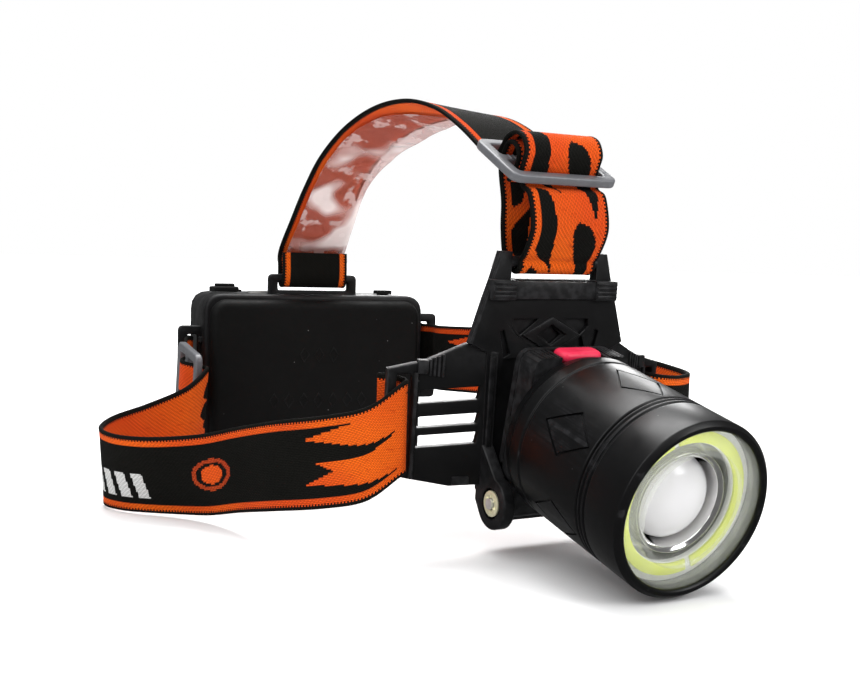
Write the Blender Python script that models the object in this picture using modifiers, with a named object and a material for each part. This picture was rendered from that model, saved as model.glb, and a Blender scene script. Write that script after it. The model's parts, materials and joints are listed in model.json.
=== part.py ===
"""Zoom headlamp with a clip-on battery box and webbing head straps.

Lengths are in millimetres in this file and become metres through MM. +Z is up, the lamp
shines towards -Y, and the wearer's right-hand strap is on the -X side.
"""
import bpy
import bmesh
from math import cos, sin, radians, pi
from mathutils import Matrix, Vector

MM = 0.001
GAP = 0.3                  # between touching pieces
MERGE = 0.000002           # metres

# Front bracket, in its own upright frame: y = 0 is the front face, x = 0 the middle
LEAN = 4.0                 # the bracket leans forward when the headlamp lies on a table
LEAN_PIVOT = (0.0, -63.0, 0.35)
PLATE_T = 3.2
WING_ROOT_X = 18.0
WING_PROUD = 0.2           # how far each wing stands in front of the middle plate at its root
WING_SWEEP = 16.5          # degrees that each wing is swept back
SLOT_X = (38.8, 42.6)      # strap slot in each wing
SLOT_Z = (16.8, 43.6)
EAR_X = (16.0, 19.5)       # hinge ears, inner and outer face
EAR_R = 7.0
HINGE = (0.0, -6.0, 10.3)  # lamp tilt axis
STRAP_BAR_Z, STRAP_BAR_R = 74.2, 1.6

# Lamp head: s is measured backwards from the front rim along the lamp axis, t upwards from it
LAMP_FRONT = (0.0, -63.0, 22.2)
LAMP_PITCH = 9.6           # degrees down, in the bracket's frame
LAMP_R = 22.5
GLASS_R = 20.0
BEZEL_S = 15.6
BARREL_S = 49.7
TUBE_R, BORE_R = 19.4, 20.0
HOUSING_S = (50.2, 57.8)
HOUSING_COVER_T = 1.8
HOUSING_X, HOUSING_T = 15.3, (-16.6, 20.6)
BUTTON_SIZE = (13.4, 6.0)
LUG_R = 4.1
PIN_R = 1.5

# Battery box, in its own frame: x across, y = 0 the front of the case, z = 0 the table
BOX_PLACE = (-8.3, 135.5, 0.0)
BOX_YAW = -8.0
BOX_W, BOX_D, BOX_H = 84.0, 27.0, 64.0
BOX_R = 7.0
WALL = 2.0
PAD_W, PAD_H, PAD_T = 80.0, 60.0, 4.0
CELL_R, CELL_L = 9.2, 65.0
CELL_Z = (14.2, 33.6)
FLOOR_T = 4.6              # case wall under the cells, which carries the cover's hinge
CELL_Y = 13.2
PORT_X, PORT_Y = -19.0, 12.25
PLUG_T, PLUG_AXIS_UP = 2.0, 1.7
COVER_T = 2.0
COVER_AXIS_Y, COVER_AXIS_Z = 25.4, 2.6
KNUCKLE_X, KNUCKLE_HALF, KNUCKLE_R = (-20.0, 20.0), 8.0, 2.0

# Webbing
WEB_W, WEB_T = 25.0, 1.2
SLIDER = (33.5, 23.0, 2.4)     # tri-glide: across the webbing, along it, thickness
SLIDER_BAR = 3.2


# ---------------------------------------------------------------- helpers

def clear_scene():
    for thing in list(bpy.data.objects):
        bpy.data.objects.remove(thing, do_unlink=True)


def collection(name):
    group = bpy.data.collections.new(name)
    bpy.context.scene.collection.children.link(group)
    return group


def material(name, colour, roughness, metallic=0.0):
    made = bpy.data.materials.new(name)
    made.use_nodes = True
    shader = made.node_tree.nodes["Principled BSDF"]
    shader.inputs["Base Color"].default_value = (*colour, 1.0)
    shader.inputs["Roughness"].default_value = roughness
    shader.inputs["Metallic"].default_value = metallic
    made.diffuse_color = (*colour, 1.0)
    return made


def link(name, mesh, parent, look, group=None):
    made = bpy.data.objects.new(name, mesh)
    (group or PARTS).objects.link(made)
    made.parent = parent
    if look is not None:
        mesh.materials.append(look)
    return made


def from_bmesh(name, bm, parent, look, group=None):
    mesh = bpy.data.meshes.new(name)
    bmesh.ops.recalc_face_normals(bm, faces=bm.faces)
    bm.to_mesh(mesh)
    bm.free()
    return link(name, mesh, parent, look, group)


def box(name, low, high, parent, look, group=None):
    low, high = Vector(low) * MM, Vector(high) * MM
    bm = bmesh.new()
    bmesh.ops.create_cube(bm, size=1.0)
    bmesh.ops.scale(bm, vec=high - low, verts=bm.verts)
    bmesh.ops.translate(bm, vec=(low + high) / 2, verts=bm.verts)
    return from_bmesh(name, bm, parent, look, group)


def cylinder(name, radius, start, end, parent, look, group=None, sides=24, end_radius=None):
    """A cylinder or cone from the point start to the point end."""
    start, end = Vector(start) * MM, Vector(end) * MM
    run = end - start
    top = radius if end_radius is None else end_radius
    bm = bmesh.new()
    bmesh.ops.create_cone(bm, cap_ends=True, segments=sides, radius1=radius * MM,
                          radius2=top * MM, depth=run.length)
    turn = run.to_track_quat("Z", "Y").to_matrix().to_4x4()
    bmesh.ops.transform(bm, matrix=Matrix.Translation((start + end) / 2) @ turn, verts=bm.verts)
    made = from_bmesh(name, bm, parent, look, group)
    shade(made)
    return made


def shade(thing):
    thing.data.shade_smooth()
    thing.data.set_sharp_from_angle(angle=radians(35))


def turned(name, profile, parent, look, steps=36, group=None):
    """A body of revolution about local Z. profile runs down the outer side, as (radius, z)."""
    closed = profile[0][0] > 0 or profile[-1][0] > 0
    bm = bmesh.new()
    verts = [bm.verts.new((r * MM, 0.0, z * MM)) for r, z in profile]
    for a, b in zip(verts, verts[1:]):
        bm.edges.new((a, b))
    if closed:
        bm.edges.new((verts[-1], verts[0]))
    mesh = bpy.data.meshes.new(name)
    bm.to_mesh(mesh)
    bm.free()
    made = link(name, mesh, parent, look, group)
    screw = made.modifiers.new("turn", "SCREW")
    screw.steps = screw.render_steps = steps
    screw.use_merge_vertices = True
    screw.merge_threshold = MERGE
    screw.use_smooth_shade = True
    return made


def rounded(points, radius, steps=4):
    """The closed outline points with each corner cut to an arc of the radius."""
    out = []
    count = len(points)
    for i, corner in enumerate(points):
        corner = Vector(corner)
        before, after = Vector(points[i - 1]), Vector(points[(i + 1) % count])
        to_before, to_after = (before - corner), (after - corner)
        cut = min(radius, to_before.length * 0.45, to_after.length * 0.45)
        a, b = corner + to_before.normalized() * cut, corner + to_after.normalized() * cut
        for k in range(steps + 1):
            u = k / steps
            out.append(tuple(a * (1 - u) ** 2 + corner * 2 * u * (1 - u) + b * u ** 2))
    return out


def rectangle(x0, x1, z0, z1):
    return [(x0, z0), (x1, z0), (x1, z1), (x0, z1)]


def mirrored(points):
    """A closed outline from its right-hand half, listed bottom to top."""
    return list(points) + [(-x, z) for x, z in reversed(points)]


def plate(name, outline, depth, parent, look, holes=(), group=None, plane="XZ"):
    """A flat outline and its holes as a plate between the two depths (along y, or along z)."""
    curve = bpy.data.curves.new(name, "CURVE")
    curve.dimensions = "2D"
    curve.fill_mode = "BOTH"
    curve.extrude = (depth[1] - depth[0]) / 2 * MM
    for loop in [outline, *holes]:
        spline = curve.splines.new("POLY")
        spline.points.add(len(loop) - 1)
        for point, (x, z) in zip(spline.points, loop):
            point.co = (x * MM, z * MM, 0.0, 1.0)
        spline.use_cyclic_u = True
    holder = bpy.data.objects.new(name + "_outline", curve)
    bpy.context.scene.collection.objects.link(holder)
    bpy.context.view_layer.update()
    mesh = bpy.data.meshes.new_from_object(holder.evaluated_get(bpy.context.evaluated_depsgraph_get()))
    bpy.data.objects.remove(holder, do_unlink=True)
    middle = (depth[0] + depth[1]) / 2 * MM
    if plane == "XZ":
        mesh.transform(Matrix.Translation((0, middle, 0)) @ Matrix.Rotation(pi / 2, 4, "X"))
    else:
        mesh.transform(Matrix.Translation((0, 0, middle)))
    bm = bmesh.new()
    bm.from_mesh(mesh)
    bmesh.ops.remove_doubles(bm, verts=bm.verts, dist=MERGE)
    bpy.data.meshes.remove(mesh)
    return from_bmesh(name, bm, parent, look, group)


def combine(target, operation, *tools):
    """Boolean the tools into the target. Cutters stay as hidden wire objects."""
    for tool in tools:
        step = target.modifiers.new(operation.lower(), "BOOLEAN")
        step.operation = operation
        step.object = tool
        step.solver = "EXACT"
        tool.hide_render = True
        tool.display_type = "WIRE"
    return target


def empty(name, place, parent=None, rotation=(0.0, 0.0, 0.0)):
    made = bpy.data.objects.new(name, None)
    bpy.context.scene.collection.objects.link(made)
    made.location = Vector(place) * MM
    made.rotation_euler = [radians(v) for v in rotation]
    made.parent = parent
    made.empty_display_size = 0.01
    return made


def smooth_route(points, per_span=5):
    """A Catmull-Rom curve through the points."""
    points = [Vector(p) for p in points]
    line = [points[0] * 2 - points[1], *points, points[-1] * 2 - points[-2]]
    out = []
    for i in range(1, len(line) - 2):
        p0, p1, p2, p3 = line[i - 1:i + 3]
        for k in range(per_span):
            u = k / per_span
            out.append(0.5 * (2 * p1 + (p2 - p0) * u + (2 * p0 - 5 * p1 + 4 * p2 - p3) * u ** 2
                              + (3 * p1 - p0 - 3 * p2 + p3) * u ** 3))
    out.append(points[-1])
    return out


def webbing(name, stations, parent, look, per_span=5):
    """Flat webbing along the stations, each a centre point and the direction across the web."""
    centres = smooth_route([c for c, _ in stations], per_span)
    across = smooth_route([d for _, d in stations], per_span)
    bm = bmesh.new()
    rows = []
    for centre, side in zip(centres, across):
        half = side.normalized() * WEB_W / 2
        rows.append([bm.verts.new((centre - half) * MM), bm.verts.new((centre + half) * MM)])
    for a, b in zip(rows, rows[1:]):
        bm.faces.new((a[0], a[1], b[1], b[0]))
    mesh = bpy.data.meshes.new(name)
    bm.to_mesh(mesh)
    bm.free()
    made = link(name, mesh, parent, look)
    solid = made.modifiers.new("thickness", "SOLIDIFY")
    solid.thickness = WEB_T * MM
    solid.offset = 0.0
    return made


def tri_glide(name, parent, look):
    """A flat strap slider: an oblong frame with one middle bar. Webbing runs along local Y."""
    w, length, t = SLIDER
    bar = SLIDER_BAR
    holes = [rounded(rectangle(-w / 2 + bar, w / 2 - bar, y0, y1), 1.0, 2)
             for y0, y1 in ((bar / 2, length / 2 - bar), (-length / 2 + bar, -bar / 2))]
    outline = rounded(rectangle(-w / 2, w / 2, -length / 2, length / 2), 3.0)
    return plate(name, outline, (-t / 2, t / 2), parent, look, holes, plane="XY")


# ---------------------------------------------------------------- scene and materials

clear_scene()
PARTS = collection("headlamp")
CUTTERS = collection("cutters")

BLACK_PLASTIC = material("black_plastic", (0.018, 0.018, 0.02), 0.42)
BLACK_METAL = material("black_anodised", (0.012, 0.012, 0.014), 0.3, 0.6)
RUBBER = material("black_rubber", (0.015, 0.015, 0.016), 0.65)
RED_RUBBER = material("red_rubber", (0.75, 0.05, 0.08), 0.5)
CLEAR = material("clear_plastic", (0.9, 0.92, 0.93), 0.05)
CHROME = material("chrome", (0.9, 0.9, 0.9), 0.08, 1.0)
PHOSPHOR = material("phosphor", (0.8, 0.85, 0.1), 0.5)
BOARD = material("circuit_board", (0.02, 0.16, 0.06), 0.5)
WHITE_BOARD = material("white_board", (0.85, 0.85, 0.85), 0.5)
ZINC = material("zinc", (0.72, 0.62, 0.3), 0.35, 1.0)
STEEL = material("steel", (0.6, 0.6, 0.62), 0.3, 1.0)
ALUMINIUM = material("aluminium", (0.7, 0.7, 0.72), 0.35, 1.0)
WEBBING = material("webbing", (0.75, 0.2, 0.03), 0.85)
GREY_PLASTIC = material("grey_plastic", (0.16, 0.17, 0.19), 0.45)
CELL_WRAP = material("cell_wrap", (0.05, 0.2, 0.5), 0.35)

root = empty("headlamp_frame", (0, 0, 0))
lean = empty("lean_pivot", LEAN_PIVOT, root, (LEAN, 0, 0))
bracket = empty("bracket_frame", [-v for v in (LEAN_PIVOT[0], LEAN_PIVOT[1], 0.0)], lean)
tilt = empty("lamp_tilt_axis", HINGE, bracket)
lamp = empty("lamp_frame", Vector(LAMP_FRONT) - Vector(HINGE), tilt, (90 + LAMP_PITCH, 0, 0))
case_frame = empty("box_frame", BOX_PLACE, root, (0, 0, BOX_YAW))


# ---------------------------------------------------------------- front bracket

def make_bracket():
    body_half = [(13.6, 3.0), (19.2, 12.4), (20.0, 50.0), (24.9, 52.4), (21.2, 64.3), (19.4, 69.5),
                 (17.2, 77.0), (13.9, 77.0), (13.9, 69.8)]
    body = plate("front_bracket", mirrored(body_half), (0, PLATE_T), bracket, BLACK_PLASTIC)
    joined = [box("band", (-20.2, -2.0, 64.4), (20.2, 1.0, 69.4), bracket, None, CUTTERS),
              box("bottom_web", (-13.4, -1.6, 3.4), (13.4, 1.5, 6.0), bracket, None, CUTTERS),
              cylinder("strap_bar", STRAP_BAR_R, (-15, PLATE_T / 2, STRAP_BAR_Z),
                       (15, PLATE_T / 2, STRAP_BAR_Z), bracket, None, CUTTERS, 16)]
    for side in (-1, 1):
        joined += [make_wing(side), make_ear(side)]
    combine(body, "UNION", *joined)
    pin_hole = cylinder("pin_hole", PIN_R + GAP, (-25, *HINGE[1:]), (25, *HINGE[1:]),
                        bracket, None, CUTTERS, 20)
    combine(body, "DIFFERENCE", pin_hole)
    for side in (-1, 1):
        recess = cylinder("clip_recess", 4.2, (side * (EAR_X[1] - 1.1), *HINGE[1:]),
                          (side * (EAR_X[1] + 2), *HINGE[1:]), bracket, None, CUTTERS, 24)
        combine(body, "DIFFERENCE", recess)


def make_wing(side):
    """One swept-back wing: three slanted vents and the slot for the side strap."""
    half = [(0, 14.0), (10, 13.4), (21.8, 15.4), (28.4, 17.0), (28.4, 45.0), (18.0, 47.4),
            (7.4, 52.2), (0, 50.0)]
    vents = []
    for low, tall in ((23.8, 3.3), (29.2, 3.0), (35.8, 3.6)):
        vents.append([(3.4, low + 1.4), (19.8, low), (19.4, low + tall), (2.8, low + tall + 1.4)])
    slot = rounded(rectangle(SLOT_X[0] - WING_ROOT_X + 0.9, SLOT_X[1] - WING_ROOT_X + 1.1, *SLOT_Z), 0.8, 2)
    wing = plate("wing", half, (0, PLATE_T), bracket, None, [*vents, slot], CUTTERS)
    turn = Matrix.Translation((WING_ROOT_X * MM, -WING_PROUD * MM, 0)) @ Matrix.Rotation(radians(WING_SWEEP), 4, "Z")
    if side < 0:
        turn = Matrix.Scale(-1, 4, (1, 0, 0)) @ turn
    wing.data.transform(turn)
    if side < 0:
        wing.data.flip_normals()
    return wing


def make_ear(side):
    """A hinge ear that stands forward from the plate at the lamp's tilt axis."""
    y, z = HINGE[1:]
    arc = [(y + EAR_R * cos(radians(a)), z + EAR_R * sin(radians(a))) for a in range(100, 322, 17)]
    outline = [(1.9, z + 15.0), *arc, (1.9, z - 0.7)]
    ear = plate("ear", outline, (EAR_X[0], EAR_X[1]), bracket, None, group=CUTTERS, plane="XY")
    # outline x, y, z become y, z, x
    ear.data.transform(Matrix(((0, 0, side, 0), (1, 0, 0, 0), (0, 1, 0, 0), (0, 0, 0, 1))))
    if side < 0:
        ear.data.flip_normals()
    return ear


def make_hinge():
    pin_end = EAR_X[1] + 0.6
    pin = cylinder("hinge_pin", PIN_R, (-pin_end, 0, 0), (pin_end, 0, 0), tilt, ZINC, sides=20)
    pin.parent = bracket
    pin.location = Vector(HINGE) * MM
    face = EAR_X[1] - 1.1
    for side, name in ((-1, "right"), (1, "left")):
        washer = turned("pin_clip_" + name, [(3.5, 0.35), (3.5, -0.35), (PIN_R + 0.2, -0.35),
                                             (PIN_R + 0.2, 0.35)], bracket, ZINC, 24)
        washer.location = Vector((side * (face + GAP + 0.4), *HINGE[1:])) * MM
        washer.rotation_euler = (0, pi / 2, 0)


# ---------------------------------------------------------------- lamp head

def make_barrel():
    turned("bezel", [(21.7, 0), (LAMP_R, -0.8), (LAMP_R, -12.4), (22.0, -12.7), (22.0, -13.3),
                     (LAMP_R, -13.6), (LAMP_R, -14.2), (22.0, -14.5), (22.0, -15.1),
                     (LAMP_R, -BEZEL_S + 0.1), (LAMP_R, -BEZEL_S), (21.1, -BEZEL_S),
                     (21.1, -1.1), (GLASS_R, -1.1), (GLASS_R, -0.4), (GLASS_R + 0.5, 0)],
           lamp, BLACK_METAL)
    turned("zoom_barrel", [(20.8, -10.0), (20.8, -16.3), (22.0, -16.3), (22.0, -16.6), (LAMP_R, -16.9),
                           (22.3, -46.2), (21.6, -46.9), (21.2, -49.3), (20.8, -BARREL_S),
                           (BORE_R, -BARREL_S), (BORE_R, -22.0), (19.0, -21.0), (19.0, -10.0)],
           lamp, BLACK_METAL)
    turned("front_window", [(20.8, -1.4), (20.8, -3.2), (15.0, -3.2), (15.0, -9.0), (13.4, -9.0),
                            (13.4, -0.9), (15.0, -0.9), (15.2, -1.4)], lamp, CLEAR)
    turned("cob_board", [(19.8, -5.6), (19.8, -6.8), (15.4, -6.8), (15.4, -5.6)], lamp, WHITE_BOARD)
    turned("cob_ring", [(18.4, -4.7), (18.4, -5.3), (15.8, -5.3), (15.8, -4.7)], lamp, PHOSPHOR)
    turned("lens_holder", [(13.0, -3.0), (13.0, -9.3), (18.6, -9.3), (18.6, -20.0), (17.4, -20.0),
                           (17.4, -10.5), (11.2, -10.5), (11.6, -3.0)], lamp, CHROME)
    dome = [(10.8 * cos(radians(a)), -10.6 + 6.4 * sin(radians(a))) for a in range(90, 0, -15)]
    turned("centre_lens", [(0.0, dome[0][1]), *dome[1:], (10.8, -10.6), (10.8, -12.0), (0.0, -12.0)],
           lamp, CLEAR)


def make_inner_head():
    turned("slide_tube", [(TUBE_R, -27.0), (TUBE_R, -36.9), (18.2, -36.9), (18.2, -39.1), (TUBE_R, -39.1),
                          (TUBE_R, -50.6), (17.6, -50.6), (17.6, -27.0)], lamp, ALUMINIUM)
    ring = [(19.05 + 0.72 * cos(a), -38.0 + 0.72 * sin(a)) for a in
            [pi / 2 - 2 * pi * k / 8 for k in range(8)]]
    turned("o_ring", ring, lamp, RUBBER, 24)
    turned("heat_sink", [(17.3, -27.2), (17.3, -33.0), (6.0, -33.0), (6.0, -36.0), (0.0, -36.0),
                         (0.0, -27.2)], lamp, ALUMINIUM)
    cylinder("led_board", 9.0, (0, 0, -26.9), (0, 0, -25.5), lamp, WHITE_BOARD, sides=32)
    box("led_emitter", (-2.5, -2.5, -25.2), (2.5, 2.5, -24.2), lamp, PHOSPHOR)


def make_housing():
    t0, t1 = HOUSING_T
    outer = rounded(rectangle(-HOUSING_X, HOUSING_X, t0, t1), 4.0)
    inner = rounded(rectangle(-HOUSING_X + WALL, HOUSING_X - WALL, t0 + WALL, t1 - WALL), 3.0)
    front, back = -HOUSING_S[0], -HOUSING_S[1]
    housing = plate("lamp_housing", outer, (back, front), lamp, BLACK_PLASTIC, plane="XY")
    hinge_t = HINGE_IN_LAMP.y
    hinge_s = HINGE_IN_LAMP.z
    lug = cylinder("hinge_lug", LUG_R, (-EAR_X[0] + GAP, hinge_t, hinge_s),
                   (EAR_X[0] - GAP, hinge_t, hinge_s), lamp, None, CUTTERS, 24)
    neck = box("hinge_neck", (-EAR_X[0] + GAP, hinge_t, hinge_s - LUG_R + 0.2),
               (EAR_X[0] - GAP, t0 + 1, front - 0.3), lamp, None, CUTTERS)
    combine(housing, "UNION", lug, neck)
    hollow = plate("hollow", inner, (back - 1, front - 1.6), lamp, None, group=CUTTERS, plane="XY")
    opening = cylinder("tube_opening", TUBE_R - 0.4, (0, 0, front - 2), (0, 0, front + 1), lamp, None,
                       CUTTERS, 40)
    trim = box("tube_seat", (-HOUSING_X - 1, -30, front - 0.7), (HOUSING_X + 1, 30, front + 1), lamp, None,
               CUTTERS)
    well = box("button_well", (-BUTTON_SIZE[0] / 2 - GAP, t1 - 4, BUTTON_MIDDLE - BUTTON_SIZE[1] / 2 - GAP),
               (BUTTON_SIZE[0] / 2 + GAP, t1 + 3, BUTTON_MIDDLE + BUTTON_SIZE[1] / 2 + GAP), lamp, None,
               CUTTERS)
    bore = cylinder("lug_bore", PIN_R + GAP, (-20, hinge_t, hinge_s), (20, hinge_t, hinge_s), lamp, None,
                    CUTTERS, 20)
    cable = cylinder("cable_hole", 2.6, (-20, 0, BUTTON_MIDDLE), (-10, 0, BUTTON_MIDDLE), lamp, None,
                     CUTTERS, 20)
    combine(housing, "DIFFERENCE", hollow, opening, trim, well, bore, cable)
    cover = plate("housing_cover", rounded(rectangle(-HOUSING_X, HOUSING_X, t0 + 3.0, t1), 4.0),
                  (back - GAP - HOUSING_COVER_T, back - GAP), lamp, BLACK_PLASTIC, plane="XY")
    add_housing_screws(housing, cover)


def make_button():
    w, d = BUTTON_SIZE
    top = HOUSING_T[1]
    outline = rounded(rectangle(-w / 2, w / 2, BUTTON_MIDDLE - d / 2, BUTTON_MIDDLE + d / 2), 2.4)
    pad = plate("push_button", outline, (top - 2.0, top + 1.4), press, RED_RUBBER)
    pad.data.transform(Matrix.Translation(-press.location))
    box("tact_switch", (-3, top - 6.6, BUTTON_MIDDLE - 2.6), (3, top - 3.2, BUTTON_MIDDLE + 2.6), lamp,
        STEEL)
    box("driver_board", (-12, top - 8.6, BUTTON_MIDDLE - 3.0), (12, top - 6.9, BUTTON_MIDDLE + 2.8), lamp,
        BOARD)
    turned_at("lamp_cable_gland", [(3.4, 1.2), (3.4, 0.0), (2.3, 0.0), (2.3, -2.4), (1.5, -2.4), (1.5, 1.2)],
              lamp, RUBBER, (-HOUSING_X - GAP, 0, BUTTON_MIDDLE), (0, -pi / 2, 0))


def turned_at(name, profile, parent, look, place, rotation, steps=24):
    made = turned(name, profile, parent, look, steps)
    made.location = Vector(place) * MM
    made.rotation_euler = rotation
    return made


def add_housing_screws(housing, cover):
    """Four screws through the rear cover into bosses inside the housing."""
    back = -HOUSING_S[1]
    outer = back - GAP - HOUSING_COVER_T
    x, t0, t1 = HOUSING_X - 3.0, HOUSING_T[0] + 6.0, HOUSING_T[1] - 3.0
    places = [(-x, t0), (x, t0), (-x, t1), (x, t1)]
    for number, (px, t) in enumerate(places, 1):
        boss = cylinder("boss", 2.2, (px, t, back), (px, t, -HOUSING_S[0] - 1.0), lamp, None, CUTTERS, 16)
        combine(housing, "UNION", boss)
        drill = cylinder("boss_hole", 1.2, (px, t, back - 1), (px, t, back + 4.6), lamp, None, CUTTERS, 16)
        combine(housing, "DIFFERENCE", drill)
        through = cylinder("screw_hole", 1.2, (px, t, outer - 1), (px, t, back + 1), lamp, None, CUTTERS, 16)
        sunk = cylinder("counterbore", 2.2, (px, t, outer - 1), (px, t, outer + 1.1), lamp, None, CUTTERS, 16)
        combine(cover, "DIFFERENCE", through, sunk)
        turned_at("housing_screw_%d" % number, [(0.0, 4.6), (0.8, 4.2), (0.9, 0.0), (1.9, 0.0), (1.9, -0.8),
                                                (0.0, -0.8)],
                  lamp, STEEL, (px, t, outer + 1.0), (0, 0, 0), 12)


# ---------------------------------------------------------------- battery box

def make_case():
    outline = rounded(rectangle(-BOX_W / 2, BOX_W / 2, 0, BOX_H), BOX_R)
    case = plate("battery_case", outline, (0, BOX_D), case_frame, BLACK_PLASTIC)
    inner = rounded(rectangle(-BOX_W / 2 + WALL, BOX_W / 2 - WALL, FLOOR_T, BOX_H - WALL), BOX_R - WALL)
    joined = []
    for side, low, high in ((-1, 19.0, 52.0), (1, 24.0, 57.0)):
        ear = plate("side_ear", rounded(rectangle(-5.0, 8.2, low, high), 2.0, 2), (6.0, 9.0), case_frame,
                    None, [rounded(rectangle(1.4, 5.2, low + 3.2, high - 3.2), 0.8, 2)], CUTTERS)
        ear.data.transform(Matrix.Translation((BOX_W / 2 * MM, 0, 0)))
        if side < 0:
            ear.data.transform(Matrix.Scale(-1, 4, (1, 0, 0)))
            ear.data.flip_normals()
        joined.append(ear)
    joined.append(plate("top_ear", rounded(rectangle(-17, 17, BOX_H - 4, BOX_H + 7.4), 2.0, 2), (6.0, 9.0),
                        case_frame, None,
                        [rounded(rectangle(-13.6, 13.6, BOX_H + 1.4, BOX_H + 4.6), 0.8, 2)], CUTTERS))
    combine(case, "UNION", *joined)
    hollow = plate("case_hollow", inner, (WALL, BOX_D + 5), case_frame, None, group=CUTTERS)
    port = box("port_hole", (PORT_X - 5.0, PORT_Y - 2.2, BOX_H - 6), (PORT_X + 5.0, PORT_Y + 2.2, BOX_H + 4),
               case_frame, None, CUTTERS)
    gland = cylinder("gland_hole", 2.6, (30, 13, BOX_H - 6), (30, 13, BOX_H + 4), case_frame, None, CUTTERS,
                     20)
    rebates = [box("hinge_rebate", (x - KNUCKLE_HALF - GAP, COVER_AXIS_Y - KNUCKLE_R - 0.4, -2),
                   (x + KNUCKLE_HALF + GAP, BOX_D + 3, COVER_AXIS_Z + KNUCKLE_R + 0.4), case_frame, None,
                   CUTTERS) for x in KNUCKLE_X]
    bore = cylinder("pin_bore", 1.1, (-31, COVER_AXIS_Y, COVER_AXIS_Z), (31, COVER_AXIS_Y, COVER_AXIS_Z),
                    case_frame, None, CUTTERS, 16)
    combine(case, "DIFFERENCE", hollow, port, gland, bore, *rebates)


def make_cover():
    """The rear cover with its lip, turning on a pin along the bottom edge."""
    y0 = BOX_D + GAP
    axis = (COVER_AXIS_Y, COVER_AXIS_Z)
    outline = rounded(rectangle(-BOX_W / 2, BOX_W / 2, axis[1] + 1.8, BOX_H), BOX_R)
    cover = plate("battery_cover", outline, (y0, y0 + COVER_T), case_frame, BLACK_PLASTIC)
    half = BOX_W / 2 - WALL
    lip_out = rounded(rectangle(-half + 0.5, half - 0.5, 9.0, BOX_H - WALL - 0.6), BOX_R - WALL)
    lip_in = rounded(rectangle(-half + 2.0, half - 2.0, 10.6, BOX_H - WALL - 2.2), BOX_R - WALL - 1)
    joined = [box("thumb_tab", (-9, y0 + 0.4, BOX_H - 3), (9, y0 + 3.6, BOX_H - 1.2), case_frame, None,
                  CUTTERS)]
    for x in KNUCKLE_X:
        low, high = x - KNUCKLE_HALF, x + KNUCKLE_HALF
        joined.append(cylinder("cover_knuckle", KNUCKLE_R, (low, *axis), (high, *axis), case_frame, None,
                               CUTTERS, 20))
        joined.append(box("knuckle_web", (low + 0.2, axis[0], axis[1] - KNUCKLE_R + 0.2),
                          (high - 0.2, y0 + 1, axis[1] + KNUCKLE_R + 0.6), case_frame, None, CUTTERS))
    lip = plate("cover_lip", lip_out, (y0 - 2.6, y0 + 0.5), case_frame, None, [lip_in], CUTTERS)
    combine(cover, "UNION", *joined, lip)
    bore = cylinder("cover_bore", 1.1, (-35, *axis), (35, *axis), case_frame, None, CUTTERS, 16)
    combine(cover, "DIFFERENCE", bore)
    cylinder("cover_pin", 0.8, (-30.4, *axis), (30.4, *axis), case_frame, STEEL, sides=16)


def make_box_insides():
    for name, z in zip(("battery_cell_lower", "battery_cell_upper"), CELL_Z):
        turned_cell(name, z)
        flip = 1 if name.endswith("lower") else -1
        spring_end = -flip
        x = spring_end * (CELL_L / 2 + 0.9)
        coil(name.replace("battery_cell", "contact_spring"), x, spring_end, z)
        plate_x = flip * (CELL_L / 2 + 1.6)
        box(name.replace("battery_cell", "contact_plate"), (plate_x - 0.25, CELL_Y - 6, z - 6),
            (plate_x + 0.25, CELL_Y + 6, z + 6), case_frame, STEEL)
    box("charge_board", (-36, 9.0, 47.0), (36, 9.7, 60.5), case_frame, BOARD)
    plate("charge_port", rounded(rectangle(PORT_X - 4.5, PORT_X + 4.5, PORT_Y - 1.7, PORT_Y + 1.7), 1.4, 3),
                  (BOX_H - 8.0, BOX_H + 0.8), case_frame, STEEL,
                  [rounded(rectangle(PORT_X - 4.1, PORT_X + 4.1, PORT_Y - 1.3, PORT_Y + 1.3), 1.1, 3)], plane="XY")
    turned_at("box_cable_gland", [(3.6, 1.6), (3.6, 0.3), (2.3, 0.3), (2.3, -2.6), (1.5, -2.6), (1.5, 1.6)],
              case_frame, RUBBER, (30, 13, BOX_H), (0, 0, 0))


def turned_cell(name, z):
    half = CELL_L / 2
    cell = turned(name, [(0.0, half), (3.2, half), (3.2, half - 1.6), (8.6, half - 1.6), (CELL_R, half - 2.4),
                         (CELL_R, -half + 0.4), (8.8, -half), (0.0, -half)], case_frame, CELL_WRAP, 20)
    cell.location = Vector((0, CELL_Y, z)) * MM
    flip = 1 if name.endswith("lower") else -1
    cell.rotation_euler = (0, flip * pi / 2, 0)


def coil(name, x, side, z):
    """A conical contact spring between the case wall and the cell's flat end."""
    turns, steps = 2.5, 12
    end_x = side * (BOX_W / 2 - WALL - 1.0)
    curve = bpy.data.curves.new(name, "CURVE")
    curve.dimensions = "3D"
    curve.bevel_depth = 0.35 * MM
    curve.bevel_resolution = 1
    curve.use_fill_caps = True
    spline = curve.splines.new("POLY")
    count = int(turns * steps) + 1
    spline.points.add(count - 1)
    for i, point in enumerate(spline.points):
        u = i / (count - 1)
        angle = 2 * pi * turns * u
        r = 3.0 + 2.4 * u
        point.co = ((x + (end_x - x) * u) * MM, (CELL_Y + r * cos(angle)) * MM, (z + r * sin(angle)) * MM, 1)
    made = bpy.data.objects.new(name, curve)
    PARTS.objects.link(made)
    made.parent = case_frame
    curve.materials.append(STEEL)


def make_pad():
    outline = rounded(rectangle(-PAD_W / 2, PAD_W / 2, 2.0, 2.0 + PAD_H), BOX_R - 1)
    plate("front_pad", outline, (-PAD_T, -GAP), case_frame, RUBBER)


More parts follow.
